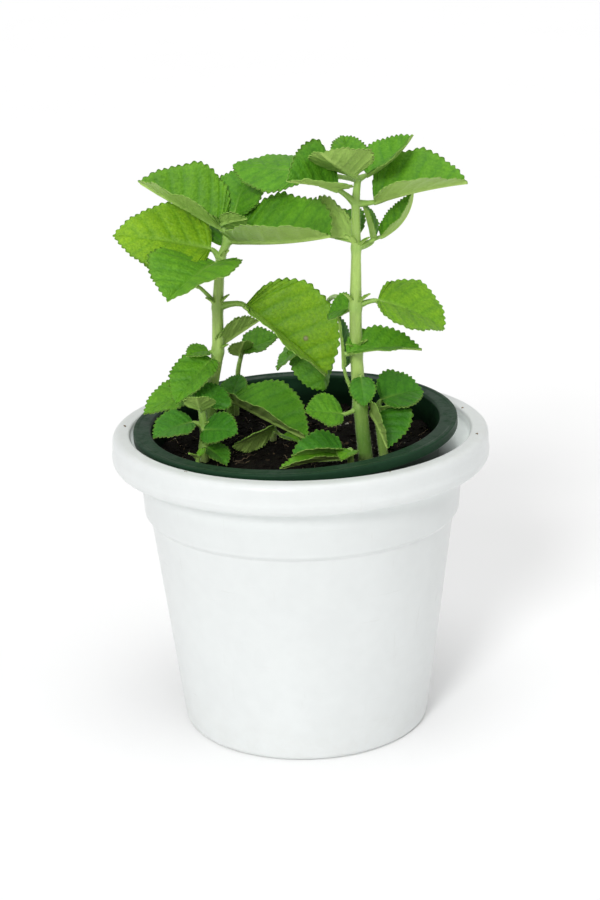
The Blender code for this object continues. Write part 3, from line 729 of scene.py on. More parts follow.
def filleted(corners, bends=5):
    """A profile through (radius, height, fillet) corners, each fillet held by a point on either side."""
    points = []
    for i, (r, z, fillet) in enumerate(corners):
        here = Vector((r, z))
        if fillet <= 0 or i in (0, len(corners) - 1):
            points.append(here)
            continue
        back = Vector(corners[i - 1][:2]) - here
        ahead = Vector(corners[i + 1][:2]) - here
        reach = min(fillet, back.length * 0.45, ahead.length * 0.45)
        a, b = here + back.normalized() * reach, here + ahead.normalized() * reach
        points.append(here + back.normalized() * min(reach * 1.5, back.length * 0.5))
        for k in range(bends + 1):
            t = k / bends
            points.append(a * (1 - t) ** 2 + here * (2 * t * (1 - t)) + b * t ** 2)
        points.append(here + ahead.normalized() * min(reach * 1.5, ahead.length * 0.5))
    return points


def turning_tree():
    """Turns a profile, given as a chain of points, round the vertical axis."""
    tree, given, result = new_tree("turned on an axis", "GeometryNodeTree", [
        ("Profile", "NodeSocketGeometry", None), ("Steps", "NodeSocketInt", 96),
        ("Points", "NodeSocketInt", 10), ("Material", "NodeSocketMaterial", None),
    ], [("Geometry", "NodeSocketGeometry", None)])
    profile, steps, count, material = given.outputs[:4]
    rings = maths(tree, "ADD", steps, 1.0)
    grid = put(tree, "GeometryNodeMeshGrid", {"Vertices X": rings, "Vertices Y": count})
    index = out(put(tree, "GeometryNodeInputIndex"))
    ring = maths(tree, "FLOOR", maths(tree, "DIVIDE", index, count))
    along = maths(tree, "SUBTRACT", index, times(tree, ring, count))
    angle = times(tree, maths(tree, "DIVIDE", ring, steps), math.tau)
    place = put(tree, "GeometryNodeSampleIndex", {
        "Geometry": profile, "Value": out(put(tree, "GeometryNodeInputPosition")), "Index": along,
    }, data_type="FLOAT_VECTOR")
    parts = put(tree, "ShaderNodeSeparateXYZ", {"Vector": out(place)})
    turned = put(tree, "ShaderNodeCombineXYZ", {
        "X": times(tree, out(parts, "X"), maths(tree, "COSINE", angle)),
        "Y": times(tree, out(parts, "X"), maths(tree, "SINE", angle)),
        "Z": out(parts, "Z"),
    })
    placed = put(tree, "GeometryNodeSetPosition", {"Geometry": out(grid, "Mesh"), "Position": out(turned)})
    merged = put(tree, "GeometryNodeMergeByDistance", {"Geometry": out(placed), "Distance": 1e-6})
    return dress(tree, out(merged), material, result)


def turned_mesh(name, corners, steps, material):
    profile = filleted(corners)
    chain = bpy.data.meshes.new(name + "_profile")
    edges = [(i, i + 1) for i in range(len(profile) - 1)]
    chain.from_pydata([(p.x * MM, 0.0, p.y * MM) for p in profile], edges, [])
    tree = shared("turned on an axis", turning_tree)
    mesh = grown(name, chain, tree, {"Steps": steps, "Points": len(profile), "Material": material})
    return turn_out(mesh)


PLANTER_CORNERS = [
    (0, 1.2, 0), (73.5, 1.2, 0.8), (75, 0, 0.6), (81, 0, 1.2), (83, 2.4, 2.0),
    (101.2, 146.6, 1.2), (104.9, 149.6, 1.6), (107.2, 184, 2), (113.0, 198.6, 2),
    (117.4, 199.2, 1.2), (120.4, 196.4, 1.0), (120.4, 184.4, 0.8), (122.4, 183.5, 1.2), (124.4, 186, 1.8),
    (125.0, 189.8, 2.2), (124.3, 192.6, 1.4), (124.3, 203.9, 6.4), (113.2, 204.0, 1.6), (111.9, 201.6, 1.6),
    (111.6, 196.8, 2.5), (103.3, 187.4, 3), (102.4, 178.2, 4), (98.4, 148, 4),
    (80.5, 6.5, 2.5), (77, 4, 2.5), (0, 4, 0),
]


def pot_inside(height):
    slope = (POT_NECK_RADIUS - POT_BASE_RADIUS) / (POT_HEIGHT - POT_LIP_DEPTH)
    return POT_BASE_RADIUS - POT_WALL + slope * height


def pot_corners():
    top, lip = POT_HEIGHT, POT_LIP_RADIUS
    return [
        (0, 1.5, 0), (62, 1.5, 0.6), (63, 0, 0.5), (72.5, 0, 0.8), (74, 1.5, 0.8),
        (POT_NECK_RADIUS, top - 3.2, 1.0), (lip - 3.8, top - 2.4, 0.8),
        (lip - 2.0, top - POT_LIP_DEPTH, 0.7), (lip, top - POT_LIP_DEPTH, 0.6),
        (lip - 0.1, top - 0.1, 1.1), (lip - 2.6, top, 0.7),
        (lip - 3.6, top - 0.4, 0.5), (pot_inside(top) + 1.0, top - 0.15, 0.7),
        (pot_inside(top - 1.5), top - 1.5, 0.7),
        (pot_inside(POT_FLOOR + 1.5), POT_FLOOR + 1.5, 1.0), (pot_inside(POT_FLOOR) - 2.0, POT_FLOOR, 1.0),
        (0, POT_FLOOR, 0),
    ]


# Soil

RIM_CRUMBS = [  # angle round the planter in degrees, radius and height in millimetres
    (16.0, 114.5, 204.1), (28.0, 115.5, 204.1), (-14.0, 118.0, 204.1), (-62.0, 115.5, 204.1),
    (-128.0, 116.0, 204.1), (176.0, 117.0, 204.1),
]


def rim_patches():
    """Small patches on the planter's rim, each for a crumb or two."""
    points, faces = [], []
    for angle, radius, height in RIM_CRUMBS:
        turn = math.radians(angle)
        middle = Vector((radius * math.cos(turn), radius * math.sin(turn), height))
        base = len(points)
        points += [middle + Vector(corner) for corner in ((-1, -1, 0), (1, -1, 0), (1, 1, 0), (-1, 1, 0))]
        faces.append((base, base + 1, base + 2, base + 3))
    return mesh_of("rim_patches", points, faces)


DIP_HEIGHT = 1.6
LUMP_HEIGHT = 1.5
GRAIN_HEIGHT = 0.55
FOOT_RISE = 1.2  # soil heaped round each stem
SOIL_CALM = 18.0  # dips and lumps fade out within this distance of a stem
SOIL_RINGS = 72
SOIL_SPOKES = 168


def soil_height(x, y):
    """The soil's surface: the frame's slow dips with lumps and grains on it."""
    wave = math.sin(0.11 * x + 1.0) * math.cos(0.09 * y) + 0.6 * math.sin(0.21 * y - 0.13 * x)
    near = min(math.hypot(x - shoot.foot[0], y - shoot.foot[1]) for shoot in SHOOTS)
    calm = min(1.0, near / SOIL_CALM)
    lumps = noise.fractal(Vector((x, y, 3.0)) * 0.09, 1.0, 2.0, 4) * LUMP_HEIGHT
    grains = noise.fractal(Vector((x, y, 9.0)) * 0.45, 0.8, 2.1, 3) * GRAIN_HEIGHT
    rise = FOOT_RISE * math.exp(-((near - 7.0) / 5.0) ** 2)
    return SOIL_LEVEL + (DIP_HEIGHT * wave + 1.0) * calm - 1.4 + lumps * calm + grains + rise


def round_axis(radius, angle):
    """A place at a distance and an angle round the nursery pot's axis."""
    return POT_AXIS[0] + radius * math.cos(angle), POT_AXIS[1] + radius * math.sin(angle)


def soil_meshes():
    """The whole bed as a closed body, and its top face alone, which carries the crumbs."""
    low = POT_FLOOR + 0.3
    edge = pot_inside(SOIL_LEVEL) - SOIL_GAP
    rings = [(pot_inside(low) - 2.4, low), (pot_inside(low + 2) - SOIL_GAP, low + 2)]
    rings += [(edge * (1 - k / SOIL_RINGS) ** 0.8, None) for k in range(SOIL_RINGS)]
    points = [(*POT_AXIS, low), (*POT_AXIS, soil_height(*POT_AXIS))]
    for radius, height in rings:
        for i in range(SOIL_SPOKES):
            x, y = round_axis(radius, math.tau * i / SOIL_SPOKES)
            points.append((x, y, soil_height(x, y) if height is None else height))
    last = 2 + (len(rings) - 1) * SOIL_SPOKES
    sides, top = [], []
    for i in range(SOIL_SPOKES):
        j = (i + 1) % SOIL_SPOKES
        sides.append((0, 2 + j, 2 + i))
        top.append((1, last + i, last + j))
        for start in range(2, last, SOIL_SPOKES):
            inner = start + SOIL_SPOKES
            strip = sides if start < 2 + 2 * SOIL_SPOKES else top
            strip.append((start + i, start + j, inner + j, inner + i))
    bed = mesh_of("soil_bed", points, sides + top)
    surface = mesh_of("soil_surface", points, top)
    for mesh in (bed, surface):
        mesh.transform(LEAN)
    return bed, surface


def crumb_tree():
    """Scatters rough crumbs over a surface."""
    tree, given, result = new_tree("scattered crumbs", "GeometryNodeTree", [
        ("Surface", "NodeSocketGeometry", None), ("Density", "NodeSocketFloat", 50000.0),
        ("Smallest", "NodeSocketFloat", 0.0004), ("Largest", "NodeSocketFloat", 0.0022),
        ("Flatness", "NodeSocketFloat", 0.5), ("Seed", "NodeSocketInt", 1),
        ("Material", "NodeSocketMaterial", None),
    ], [("Geometry", "NodeSocketGeometry", None)])
    surface, density, smallest, largest, flatness, seed, material = given.outputs[:7]
    ball = put(tree, "GeometryNodeMeshIcoSphere", {"Radius": 1.0, "Subdivisions": 1})
    position = out(put(tree, "GeometryNodeInputPosition"))
    reach = spread(tree, cloud(tree, position, 2.3, 0.0), 0.3, 0.7, 0.6, 1.3)
    rough = put(tree, "ShaderNodeVectorMath", {"Vector": position, "Scale": reach}, operation="SCALE")
    crumb = put(tree, "GeometryNodeSetPosition", {"Geometry": out(ball, "Mesh"), "Position": out(rough)})
    scatter = put(tree, "GeometryNodeDistributePointsOnFaces",
                  {"Mesh": surface, "Density": density, "Seed": seed})
    tinted = put(tree, "GeometryNodeStoreNamedAttribute", {
        "Geometry": out(scatter, "Points"), "Name": "tint", "Value": chance(tree, 0.0, 1.0, seed, 1),
    }, data_type="FLOAT", domain="POINT")
    small_share = maths(tree, "POWER", chance(tree, 0.0, 1.0, seed, 2), 2.6)
    growth = times(tree, small_share, maths(tree, "SUBTRACT", largest, smallest))
    length = maths(tree, "ADD", smallest, growth)
    width = times(tree, length, chance(tree, 0.45, 1.0, seed, 3))
    height = times(tree, length, flatness)
    scale = put(tree, "ShaderNodeCombineXYZ", {"X": length, "Y": width, "Z": height})
    spin = chance(tree, (-0.5, -0.5, 0.0), (0.5, 0.5, math.tau), seed, 4)
    turned = put(tree, "FunctionNodeEulerToRotation", {"Euler": spin})
    placed = put(tree, "GeometryNodeInstanceOnPoints", {"Points": out(tinted), "Instance": out(crumb),
                                                        "Rotation": out(turned), "Scale": out(scale)})
    return dress(tree, out(placed), material, result)


# Swept pieces: stems, stalks and fibres

def sweep_tree():
    """Sweeps a slightly square section along chains of points that carry their radius."""
    tree, given, result = new_tree("swept stems", "GeometryNodeTree", [
        ("Paths", "NodeSocketGeometry", None), ("Sides", "NodeSocketInt", 16),
        ("Squareness", "NodeSocketFloat", 0.04), ("Unevenness", "NodeSocketFloat", 0.0002),
        ("Grain", "NodeSocketFloat", 500.0), ("Material", "NodeSocketMaterial", None),
    ], [("Geometry", "NodeSocketGeometry", None)])
    paths, sides, squareness, unevenness, grain, material = given.outputs[:6]
    circle = put(tree, "GeometryNodeCurvePrimitiveCircle", {"Resolution": sides, "Radius": 1.0})
    position = out(put(tree, "GeometryNodeInputPosition"))
    parts = put(tree, "ShaderNodeSeparateXYZ", {"Vector": position})
    angle = maths(tree, "ARCTAN2", out(parts, "Y"), out(parts, "X"))
    corner = maths(tree, "COSINE", times(tree, angle, 4.0))
    reach = maths(tree, "ADD", 1.0, times(tree, corner, squareness))
    square = put(tree, "ShaderNodeVectorMath", {"Vector": position, "Scale": reach}, operation="SCALE")
    section = put(tree, "GeometryNodeSetPosition", {"Geometry": out(circle), "Position": out(square)})
    chains = put(tree, "GeometryNodeMeshToCurve", {"Mesh": paths})
    radius = put(tree, "GeometryNodeInputNamedAttribute", {"Name": "radius"}, data_type="FLOAT")
    swept = put(tree, "GeometryNodeCurveToMesh", {"Curve": out(chains), "Profile Curve": out(section),
                                                  "Scale": out(radius, "Attribute"), "Fill Caps": True})
    normal = out(put(tree, "GeometryNodeInputNormal"), "Normal")
    lift = times(tree, maths(tree, "SUBTRACT", cloud(tree, position, grain), 0.5), unevenness)
    offset = put(tree, "ShaderNodeVectorMath", {"Vector": normal, "Scale": lift}, operation="SCALE")
    uneven = put(tree, "GeometryNodeSetPosition", {"Geometry": out(swept), "Offset": out(offset)})
    return dress(tree, out(uneven), material, result)


def chain_mesh(name, chains, columns):
    """A mesh of separate chains of points in millimetres, with one number for each point in each column."""
    points, edges = [], []
    values = {key: [] for key in columns}
    for chain in chains:
        base = len(points)
        points += [tuple(p * MM) for p in chain["points"]]
        edges += [(base + i, base + i + 1) for i in range(len(chain["points"]) - 1)]
        for key in columns:
            values[key] += list(chain[key])
    mesh = bpy.data.meshes.new(name)
    mesh.from_pydata(points, edges, [])
    add_values(mesh, **values)
    return mesh


def smooth_path(knots, step):
    """Points on a soft curve through the knots, about a step apart, with the knots' other numbers eased."""
    rows = []
    count = len(knots)
    for i in range(count - 1):
        before, a, b, after = knots[max(i - 1, 0)], knots[i], knots[i + 1], knots[min(i + 2, count - 1)]
        pieces = max(2, int((b[0] - a[0]).length / step))
        for k in range(pieces):
            t = k / pieces
            point = (a[0] * (2 * t ** 3 - 3 * t ** 2 + 1) + b[0] * (3 * t ** 2 - 2 * t ** 3)
                     + (b[0] - before[0]) * (0.35 * (t ** 3 - 2 * t ** 2 + t))
                     + (after[0] - a[0]) * (0.35 * (t ** 3 - t ** 2)))
            ease = t * t * (3 - 2 * t)
            rows.append((point, *(p * (1 - ease) + q * ease for p, q in zip(a[1:], b[1:]))))
    rows.append(knots[-1])
    return rows


FIBRES = 130
FIBRE_STEPS = 8
FIBRE_SPREAD = 88  # fibres start within this distance of the pot's axis
FIBRE_LIMIT = 91  # and end within this one
MAIN_STEM_RADIUS = 4.5  # stems as thick as this turn dark green at the foot
TALL_STEM = 100  # taller stems are young at the tip only
STEM_STEP = 1.6
JOINT_SWELL = 0.15
STALK_RADIUS = 0.9
STALK_GROWTH = 0.012  # for each millimetre of the blade's width
STALK_CURVE = 0.28
STALK_FLARE = 0.5  # more at the stem, dying off over FLARE_LENGTH
FLARE_LENGTH = 4.0
STALK_UNDER_BLADE = (0.0, 0.04, 0.08, 0.13, 0.20, 0.28, 0.36)  # shares of the midrib


def fibre_chains(seed):
    """Short bent paths of fine roots that lie on the soil."""
    rng = random.Random(seed)
    chains = []
    for _ in range(FIBRES):
        radius, angle = FIBRE_SPREAD * math.sqrt(rng.random()), rng.uniform(0, math.tau)
        x, y = round_axis(radius, angle)
        heading, bend, length = rng.uniform(0, math.tau), rng.uniform(-0.35, 0.35), rng.uniform(5, 16)
        points, radii = [], []
        for i in range(FIBRE_STEPS + 1):
            if math.dist((x, y), POT_AXIS) > FIBRE_LIMIT:
                break
            points.append(Vector((x, y, soil_height(x, y) + 0.5 + 0.5 * math.sin(i * 1.3 + radius))))
            radii.append(rng.uniform(0.14, 0.22) * MM * (1 - 0.07 * i))
            heading += bend
            x += math.cos(heading) * length / FIBRE_STEPS
            y += math.sin(heading) * length / FIBRE_STEPS
        if len(points) > 3:
            chains.append({"points": points, "radius": radii})
    return chains


def clamped(value):
    return min(1.0, max(0.0, value))


def stem_chain(shoot, lift):
    """The stem from its foot in the soil to its tip, swollen at its joints."""
    foot = Vector((shoot.foot[0], shoot.foot[1], 0))
    knots = [(foot - Vector((0, 0, ROOT_DEPTH)), shoot.radius), (foot, shoot.radius)]
    knots += [(Vector(joint.place), joint.radius) for joint in shoot.joints]
    ahead = (knots[-1][0] - knots[-2][0]).normalized()
    tip = shoot.joints[-1].radius
    knots += [(knots[-1][0] + ahead * tip * 0.9, tip * 0.8), (knots[-1][0] + ahead * tip * 1.3, tip * 0.3)]
    rows = smooth_path(knots, STEM_STEP)
    chain = {key: [] for key in ("points", "radius", "age", "joint", "foot", "low")}
    top = shoot.joints[-1].place[2]
    main_stem = shoot.radius > MAIN_STEM_RADIUS
    for point, radius in rows:
        swell = 0.0
        for joint in shoot.joints:
            if joint.leaves:
                away = (point - Vector(joint.place)).length / (joint.radius * 0.8)
                swell = max(swell, math.exp(-away ** 2))
        chain["points"].append(point + lift)
        chain["radius"].append(radius * MM * (0.98 + JOINT_SWELL * swell))
        chain["age"].append(clamped((point.z / max(top, 1.0) - 0.75) * 2.0) if top > TALL_STEM else 0.45)
        chain["joint"].append(swell)
        chain["foot"].append(clamped(1 - point.z / 7.0))
        chain["low"].append(clamped(1.4 - point.z / 40.0) * (1.0 if main_stem else 0.4))
    return chain


def stalk_chain(leaf, root, lift):
    """The stalk from the stem's axis, curving into the blade's midrib and fading out under it."""
    start = root + Vector(leaf.stalk)
    place = blade_frame(leaf, start)
    forward = Vector(place(np.array([0.0]))[1][0])
    reach = Vector(leaf.stalk).length
    bend = start - forward * (reach * STALK_CURVE)
    thick = STALK_RADIUS + STALK_GROWTH * leaf.width
    points, radii = [], []
    steps = max(4, int(reach / 1.2))
    for i in range(steps):
        t = i / steps
        points.append(root * (1 - t) ** 2 + bend * (2 * t * (1 - t)) + start * t ** 2)
        flare = STALK_FLARE * thick * math.exp(-(t * reach / FLARE_LENGTH) ** 2)
        radii.append(thick * (1.15 - 0.25 * t) + flare)
    for u in STALK_UNDER_BLADE:
        spot, _, _, up = (Vector(v[0]) for v in place(np.array([u])))
        points.append(spot - up * (thick * 0.55))
        radii.append(thick * max(0.22, 0.9 - 2.1 * u))
    count = len(points)
    return {"points": [p + lift for p in points], "radius": [r * MM for r in radii], "age": [0.5] * count,
            "joint": [0.0] * count, "foot": [0.0] * count, "low": [0.0] * count}


# Blades

BLADE_WIDEST = 0.42  # share of the length
BASE_FULLNESS = 0.85
LEAST_BEND = 0.5
MARGIN_SAMPLES = 600
TOOTH_CROWDING = 0.93
TOOTH_LEAN = 0.45
TOOTH_SHARPNESS = 0.85
TOOTH_DEPTH = 0.38  # share of the distance from tooth to tooth
SMALL_LEAF_DEPTH = 0.14  # deeper on small leaves
RIB_SWEEP = 0.24
# Heights of slow waves, ripples and crinkles, as shares of half the width, and how often they turn
WAVE_HEIGHT, WAVE_TURNS = 0.035, 9.0
RIPPLE_HEIGHT, RIPPLE_TURNS = 0.022, 3.3
CRINKLE_HEIGHT, CRINKLE_TURNS = 0.012, 7.1
FIRST_VEIN = 0.07
VEINED_SHARE = 0.86  # of the margin
VEIN_CROWDING = 0.95
VEIN_SCATTER = 0.012
VEIN_SWEEP = 0.035
VEIN_SHARPNESS = 26
CROSS_VEIN_SPACING = 6.5
RIB_WIDTH, RIB_WIDTH_GROWTH = 0.55, 0.010
KEEL_HEIGHT, KEEL_HEIGHT_GROWTH = 0.2, 0.014
RIB_GROOVE = 0.35
VEIN_RELIEF = 0.12
MARGIN_THINNING = 0.45
RIM_REACH = 0.18


def outline(u, point):
    """Half the blade's width at shares u of its length: a round base that runs to a point."""
    low = np.clip(1 - u / BLADE_WIDEST, 0, 1)
    high = np.clip((u - BLADE_WIDEST) / (1 - BLADE_WIDEST), 0, 1)
    base = np.sqrt(1 - low ** 2) ** BASE_FULLNESS
    tip = np.clip(np.cos(math.pi / 2 * high), 0, 1) ** point
    return np.where(u < BLADE_WIDEST, base, tip)


def blade_frame(leaf, start):
    """A function that gives, for shares u along the midrib, places and directions ahead, right and up."""
    chord = Vector(leaf.blade)
    length = chord.length
    ahead = chord.normalized()
    right = ahead.cross(Vector((0, 0, 1))).normalized()
    above = np.array(right.cross(ahead))
    ahead, right, start = np.array(ahead), np.array(right), np.array(start)
    bend = math.radians(leaf.droop if abs(leaf.droop) > LEAST_BEND else LEAST_BEND)
    arc_length = length * (bend / 2) / math.sin(bend / 2)
    roll = math.radians(leaf.roll)

    def at(u):
        angle = bend * (0.5 - u)[..., None]
        along = (math.sin(bend / 2) - np.sin(angle)) / bend
        rise = (np.cos(angle) - math.cos(bend / 2)) / bend
        place = start + (ahead * along + above * rise) * arc_length
        forward = ahead * np.cos(angle) + above * np.sin(angle)
        normal = above * np.cos(angle) - ahead * np.sin(angle)
        side = right * math.cos(roll) - normal * math.sin(roll)
        normal = normal * math.cos(roll) + right * math.sin(roll)
        return place, forward, side, normal

    return at


def smooth(x):
    x = np.clip(x, 0.0, 1.0)
    return x * x * (3 - 2 * x)


def plain_margin(walk, leaf):
    """Shares of the length and points of a toothless margin, for steps from 0 at the base to 1 at the tip."""
    share = 0.5 - 0.5 * np.cos(np.pi * walk ** TOOTH_CROWDING)
    half = leaf.width / 2
    return share, share * Vector(leaf.blade).length, half * outline(np.clip(share, 0, 1), leaf.point)


def fine_margin(leaf, teeth_share, rows_per_tooth):
    """One margin, flat: its rows' shares, rib places, and margin points with their scallops."""
    count = max(3, round(leaf.teeth * teeth_share * (1.18 - leaf.width / 230)))
    walk = np.linspace(0.0, 1.0, MARGIN_SAMPLES)
    _, x, y = plain_margin(walk, leaf)
    arc = np.concatenate([[0], np.cumsum(np.hypot(np.diff(x), np.diff(y)))])
    share = np.linspace(0.0, 1.0, count * rows_per_tooth + 1)
    row_walk = np.interp(share, arc / arc[-1], walk)
    row_share, edge_x, edge_y = plain_margin(row_walk, leaf)
    step_x, step_y = np.gradient(edge_x), np.gradient(edge_y)
    step = np.hypot(step_x, step_y)
    lean = 1.0 + TOOTH_LEAN * (1 - share ** 6)
    phase = (share * count + 0.5) % 1.0
    crest = np.abs(np.sin(np.pi * phase ** lean)) ** TOOTH_SHARPNESS
    pitch = arc[-1] / count
    depth = TOOTH_DEPTH + SMALL_LEAF_DEPTH * float(smooth((60 - leaf.width) / 25))
    offset = pitch * depth * (crest - 0.50) * smooth((share - 0.06) / 0.14)
    edge_x, edge_y = edge_x - step_y / step * offset, edge_y + step_x / step * offset
    edge_y[0] = edge_y[-1] = 0.0
    rib_share = np.maximum(row_share - RIB_SWEEP * np.sin(np.pi * row_walk), 0.2 * row_share)
    rib = rib_share * Vector(leaf.blade).length
    rib[-1] = edge_x[-1]
    edge_x[0] = 0.0
    return share, rib, edge_x, edge_y


def blade_shape(leaf, start, look, seed):
    """Points, faces and surface numbers of one blade, with both skins and a rounded rim."""
    rng = random.Random(seed)
    at = blade_frame(leaf, start)
    length = Vector(leaf.blade).length
    half = leaf.width / 2
    share, rib, edge_x, edge_y = fine_margin(leaf, look.teeth, 5 if leaf.width > 16 else 4)
    rows = len(share) - 1
    columns = int(min(20, max(6, 5 + leaf.width * 0.22)))
    t = (np.arange(columns + 1) / columns)[None, :] ** 1.15
    veins = 5 + int(leaf.width > 22) + int(leaf.width > 40) + int(leaf.width > 60)
    fold, flare = math.radians(leaf.fold), math.radians(leaf.flare) / half
    skins = {}
    for side in (1, -1):
        flat_x = rib[:, None] + (edge_x - rib)[:, None] * t ** 1.25
        flat_y = edge_y[:, None] * t
        place, _, right, up = at(flat_x / length)
        slope = fold - flare * flat_y
        reach = (math.sin(fold) - np.sin(slope)) / flare
        height = (np.cos(slope) - math.cos(fold)) / flare
        slow = np.sin(WAVE_TURNS * flat_x / length + 0.7 * leaf.width + 1.9 * side)
        height = height + WAVE_HEIGHT * half * slow * (flat_y / half) ** 2
        ripple, shift = rng.uniform(0, math.tau), rng.uniform(0, math.tau)
        around = share[:, None] * math.tau
        height = height + RIPPLE_HEIGHT * half * smooth(t) * np.sin(around * RIPPLE_TURNS + ripple)
        height = height + CRINKLE_HEIGHT * half * t ** 3 * np.sin(around * CRINKLE_TURNS + shift)
        centre = place + right * (side * reach)[..., None] + up * height[..., None]
        normal = up * np.cos(slope)[..., None] - right * (side * np.sin(slope))[..., None]
        # veins leave the midrib at these shares of the margin, and finer veins cross the panels between them
        marks = [FIRST_VEIN + VEINED_SHARE * ((i + 0.5) / veins) ** VEIN_CROWDING
                 + rng.uniform(-VEIN_SCATTER, VEIN_SCATTER) for i in range(veins)]
        swept = np.clip(share[:, None] - VEIN_SWEEP * t ** 2 * (1 - share[:, None]), 0, 1)
        phase = np.interp(swept, [0.0] + marks + [1.0], range(veins + 2))
        panel = 1 - np.abs(np.cos(np.pi * phase)) ** 5
        vein = np.abs(np.cos(np.pi * phase)) ** VEIN_SHARPNESS
        cells = np.floor(phase) * 2.3 + rng.uniform(0, 3)
        cross_count = max(2.0, half / CROSS_VEIN_SPACING)
        cross = 1 - np.abs(np.cos(np.pi * (t * cross_count + cells + 0.6 * (phase % 1.0)))) ** 6
        near_rib = smooth(t / 0.16)
        near_edge = 1 - 0.65 * smooth((t - 0.75) / 0.25)
        quilt = (0.62 * panel + 0.38 * panel * cross) * near_rib * near_edge
        rib_width = RIB_WIDTH + RIB_WIDTH_GROWTH * leaf.width
        midrib = np.exp(-(flat_y / rib_width) ** 2)
        vein = np.clip(vein * near_rib * (1 - 0.5 * t), 0, 1)
        lift = look.quilting * leaf.width * quilt - RIB_GROOVE * midrib * min(1.0, leaf.width / 40)
        thick = look.thickness / MM * (1 - MARGIN_THINNING * t ** 3)
        along = np.clip(flat_x / length, 0, 1)
        keel = KEEL_HEIGHT + KEEL_HEIGHT_GROWTH * leaf.width
        ridge = midrib * keel * (1 - 0.6 * along) + VEIN_RELIEF * vein
        upper = centre + normal * (lift + thick / 2)[..., None]
        lower = centre + normal * (lift - thick / 2 - ridge)[..., None]
        edge = (upper[:, -1] + lower[:, -1]) / 2
        outward = upper[:, -1] - upper[:, -2]
        outward /= np.linalg.norm(outward, axis=1)[:, None] + 1e-9
        fade = (0.04 + 0.96 * (1 - along) ** 3) * min(1.0, leaf.width / 52)
        fields = [np.broadcast_to(v, flat_x.shape)
                  for v in (vein, quilt, midrib * fade, smooth((t - 0.9) / 0.1), midrib)]
        skins[side] = (upper, lower, edge + outward * RIM_REACH, fields)
    return stitch_blade(skins, rows, columns)


def stitch_blade(skins, rows, columns):
    """Joins the two halves' grids into one closed blade."""
    points, faces = [], []
    numbers = {"vein": [], "quilt": [], "midrib": [], "rim": [], "keel": [], "under": []}

    def put_point(point, fields, j, k, under):
        points.append(point)
        for key, value in zip(("vein", "quilt", "midrib", "rim", "keel"), fields):
            numbers[key].append(float(value[j, k]))
        numbers["under"].append(under)
        return len(points) - 1

    index = {}
    for level, under in ((0, 0.0), (1, 1.0)):
        middle = {}
        for side in (1, -1):
            grid, fields = skins[side][level], skins[side][3]
            for j in range(rows + 1):
                for k in range(columns + 1):
                    if k == 0 or j in (0, rows):
                        if j not in middle:
                            middle[j] = put_point(grid[j, 0], fields, j, 0, under)
                        index[side, level, j, k] = middle[j]
                    else:
                        index[side, level, j, k] = put_point(grid[j, k], fields, j, k, under)
    for side in (1, -1):
        for level in (0, 1):
            for j in range(rows):
                for k in range(columns):
                    corners = [index[side, level, j, k], index[side, level, j + 1, k],
                               index[side, level, j + 1, k + 1], index[side, level, j, k + 1]]
                    corners = list(dict.fromkeys(corners))
                    if len(corners) > 2:
                        faces.append(corners if (side == 1) == (level == 1) else corners[::-1])
        rim = {}
        for j in range(rows + 1):
            if j in (0, rows):
                rim[j] = None
                continue
            rim[j] = put_point(skins[side][2][j], skins[side][3], j, columns, 0.5)
        for j in range(rows):
            a, b = index[side, 0, j, columns], index[side, 0, j + 1, columns]
            c, d = index[side, 1, j, columns], index[side, 1, j + 1, columns]
            for first, second in (((a, rim[j]), (b, rim[j + 1])), ((rim[j], c), (rim[j + 1], d))):
                ring = [p for p in (first[0], second[0], second[1], first[1]) if p is not None]
                ring = list(dict.fromkeys(ring))
                if len(ring) > 2:
                    faces.append(ring if side == 1 else ring[::-1])
            if j == 0:
                faces.append([a, rim[1], c] if side == 1 else [c, rim[1], a])
            if j == rows - 1:
                faces.append([b, d, rim[j]] if side == 1 else [d, b, rim[j]])
    return np.array(points), faces, numbers


def bud_leaves(joint, way, length):
    """Two small leaves that stand close together in a leaf axil."""
    ahead = Vector(way).normalized()
    side = ahead.cross(Vector((0, 0, 1))).normalized()
    root = tuple(ahead * (joint.radius * 0.9))
    pair = []
    for sign in (1, -1):
        tip = (ahead + side * (0.28 * sign)) * length
        pair.append(Leaf(root, tuple(tip), length * 0.5, 18, 30, 5, 20 * sign, 3))
    return pair


def shoot_leaves(shoot, look):
    """One mesh of every blade on a shoot, with the numbers its material reads."""
    lift = Vector((0, 0, SOIL_LEVEL))
    points, faces, numbers = [], [], {}
    base = 0
    leaves = [(joint, leaf, TONES.get(shoot.name, {}).get((j, k), USUAL_TONE), False)
              for j, joint in enumerate(shoot.joints) for k, leaf in enumerate(joint.leaves)]
    for name, j, way, length in BUDS:
        if name == shoot.name:
            joint = shoot.joints[j]
            leaves += [(joint, leaf, BUD_TONE, True) for leaf in bud_leaves(joint, way, length)]
    for number, (joint, leaf, tone, is_bud) in enumerate(leaves):
        seed = sum(ord(c) for c in shoot.name) * 31 + number
        start = Vector(joint.place) + Vector(leaf.stalk) + lift
        spots, corners, columns = blade_shape(leaf, start, look, seed)
        age = 0.9 if is_bud else float(np.clip(1.05 - leaf.width / 34, 0.0, 0.8)) * tone
        columns["tone"] = [tone + random.Random(seed + 5).uniform(-0.06, 0.06)] * len(spots)
        columns["age"] = [age] * len(spots)
        points.append(spots)
        faces += [[base + c for c in face] for face in corners]
        base += len(spots)
        for key, values in columns.items():
            numbers.setdefault(key, []).extend(values)
    mesh = mesh_of(shoot.name + "_leaves", np.concatenate(points), faces)
    add_values(mesh, **numbers)
    mesh.transform(LEAN)
    mesh.shade_smooth()
    return mesh


# Fine hairs

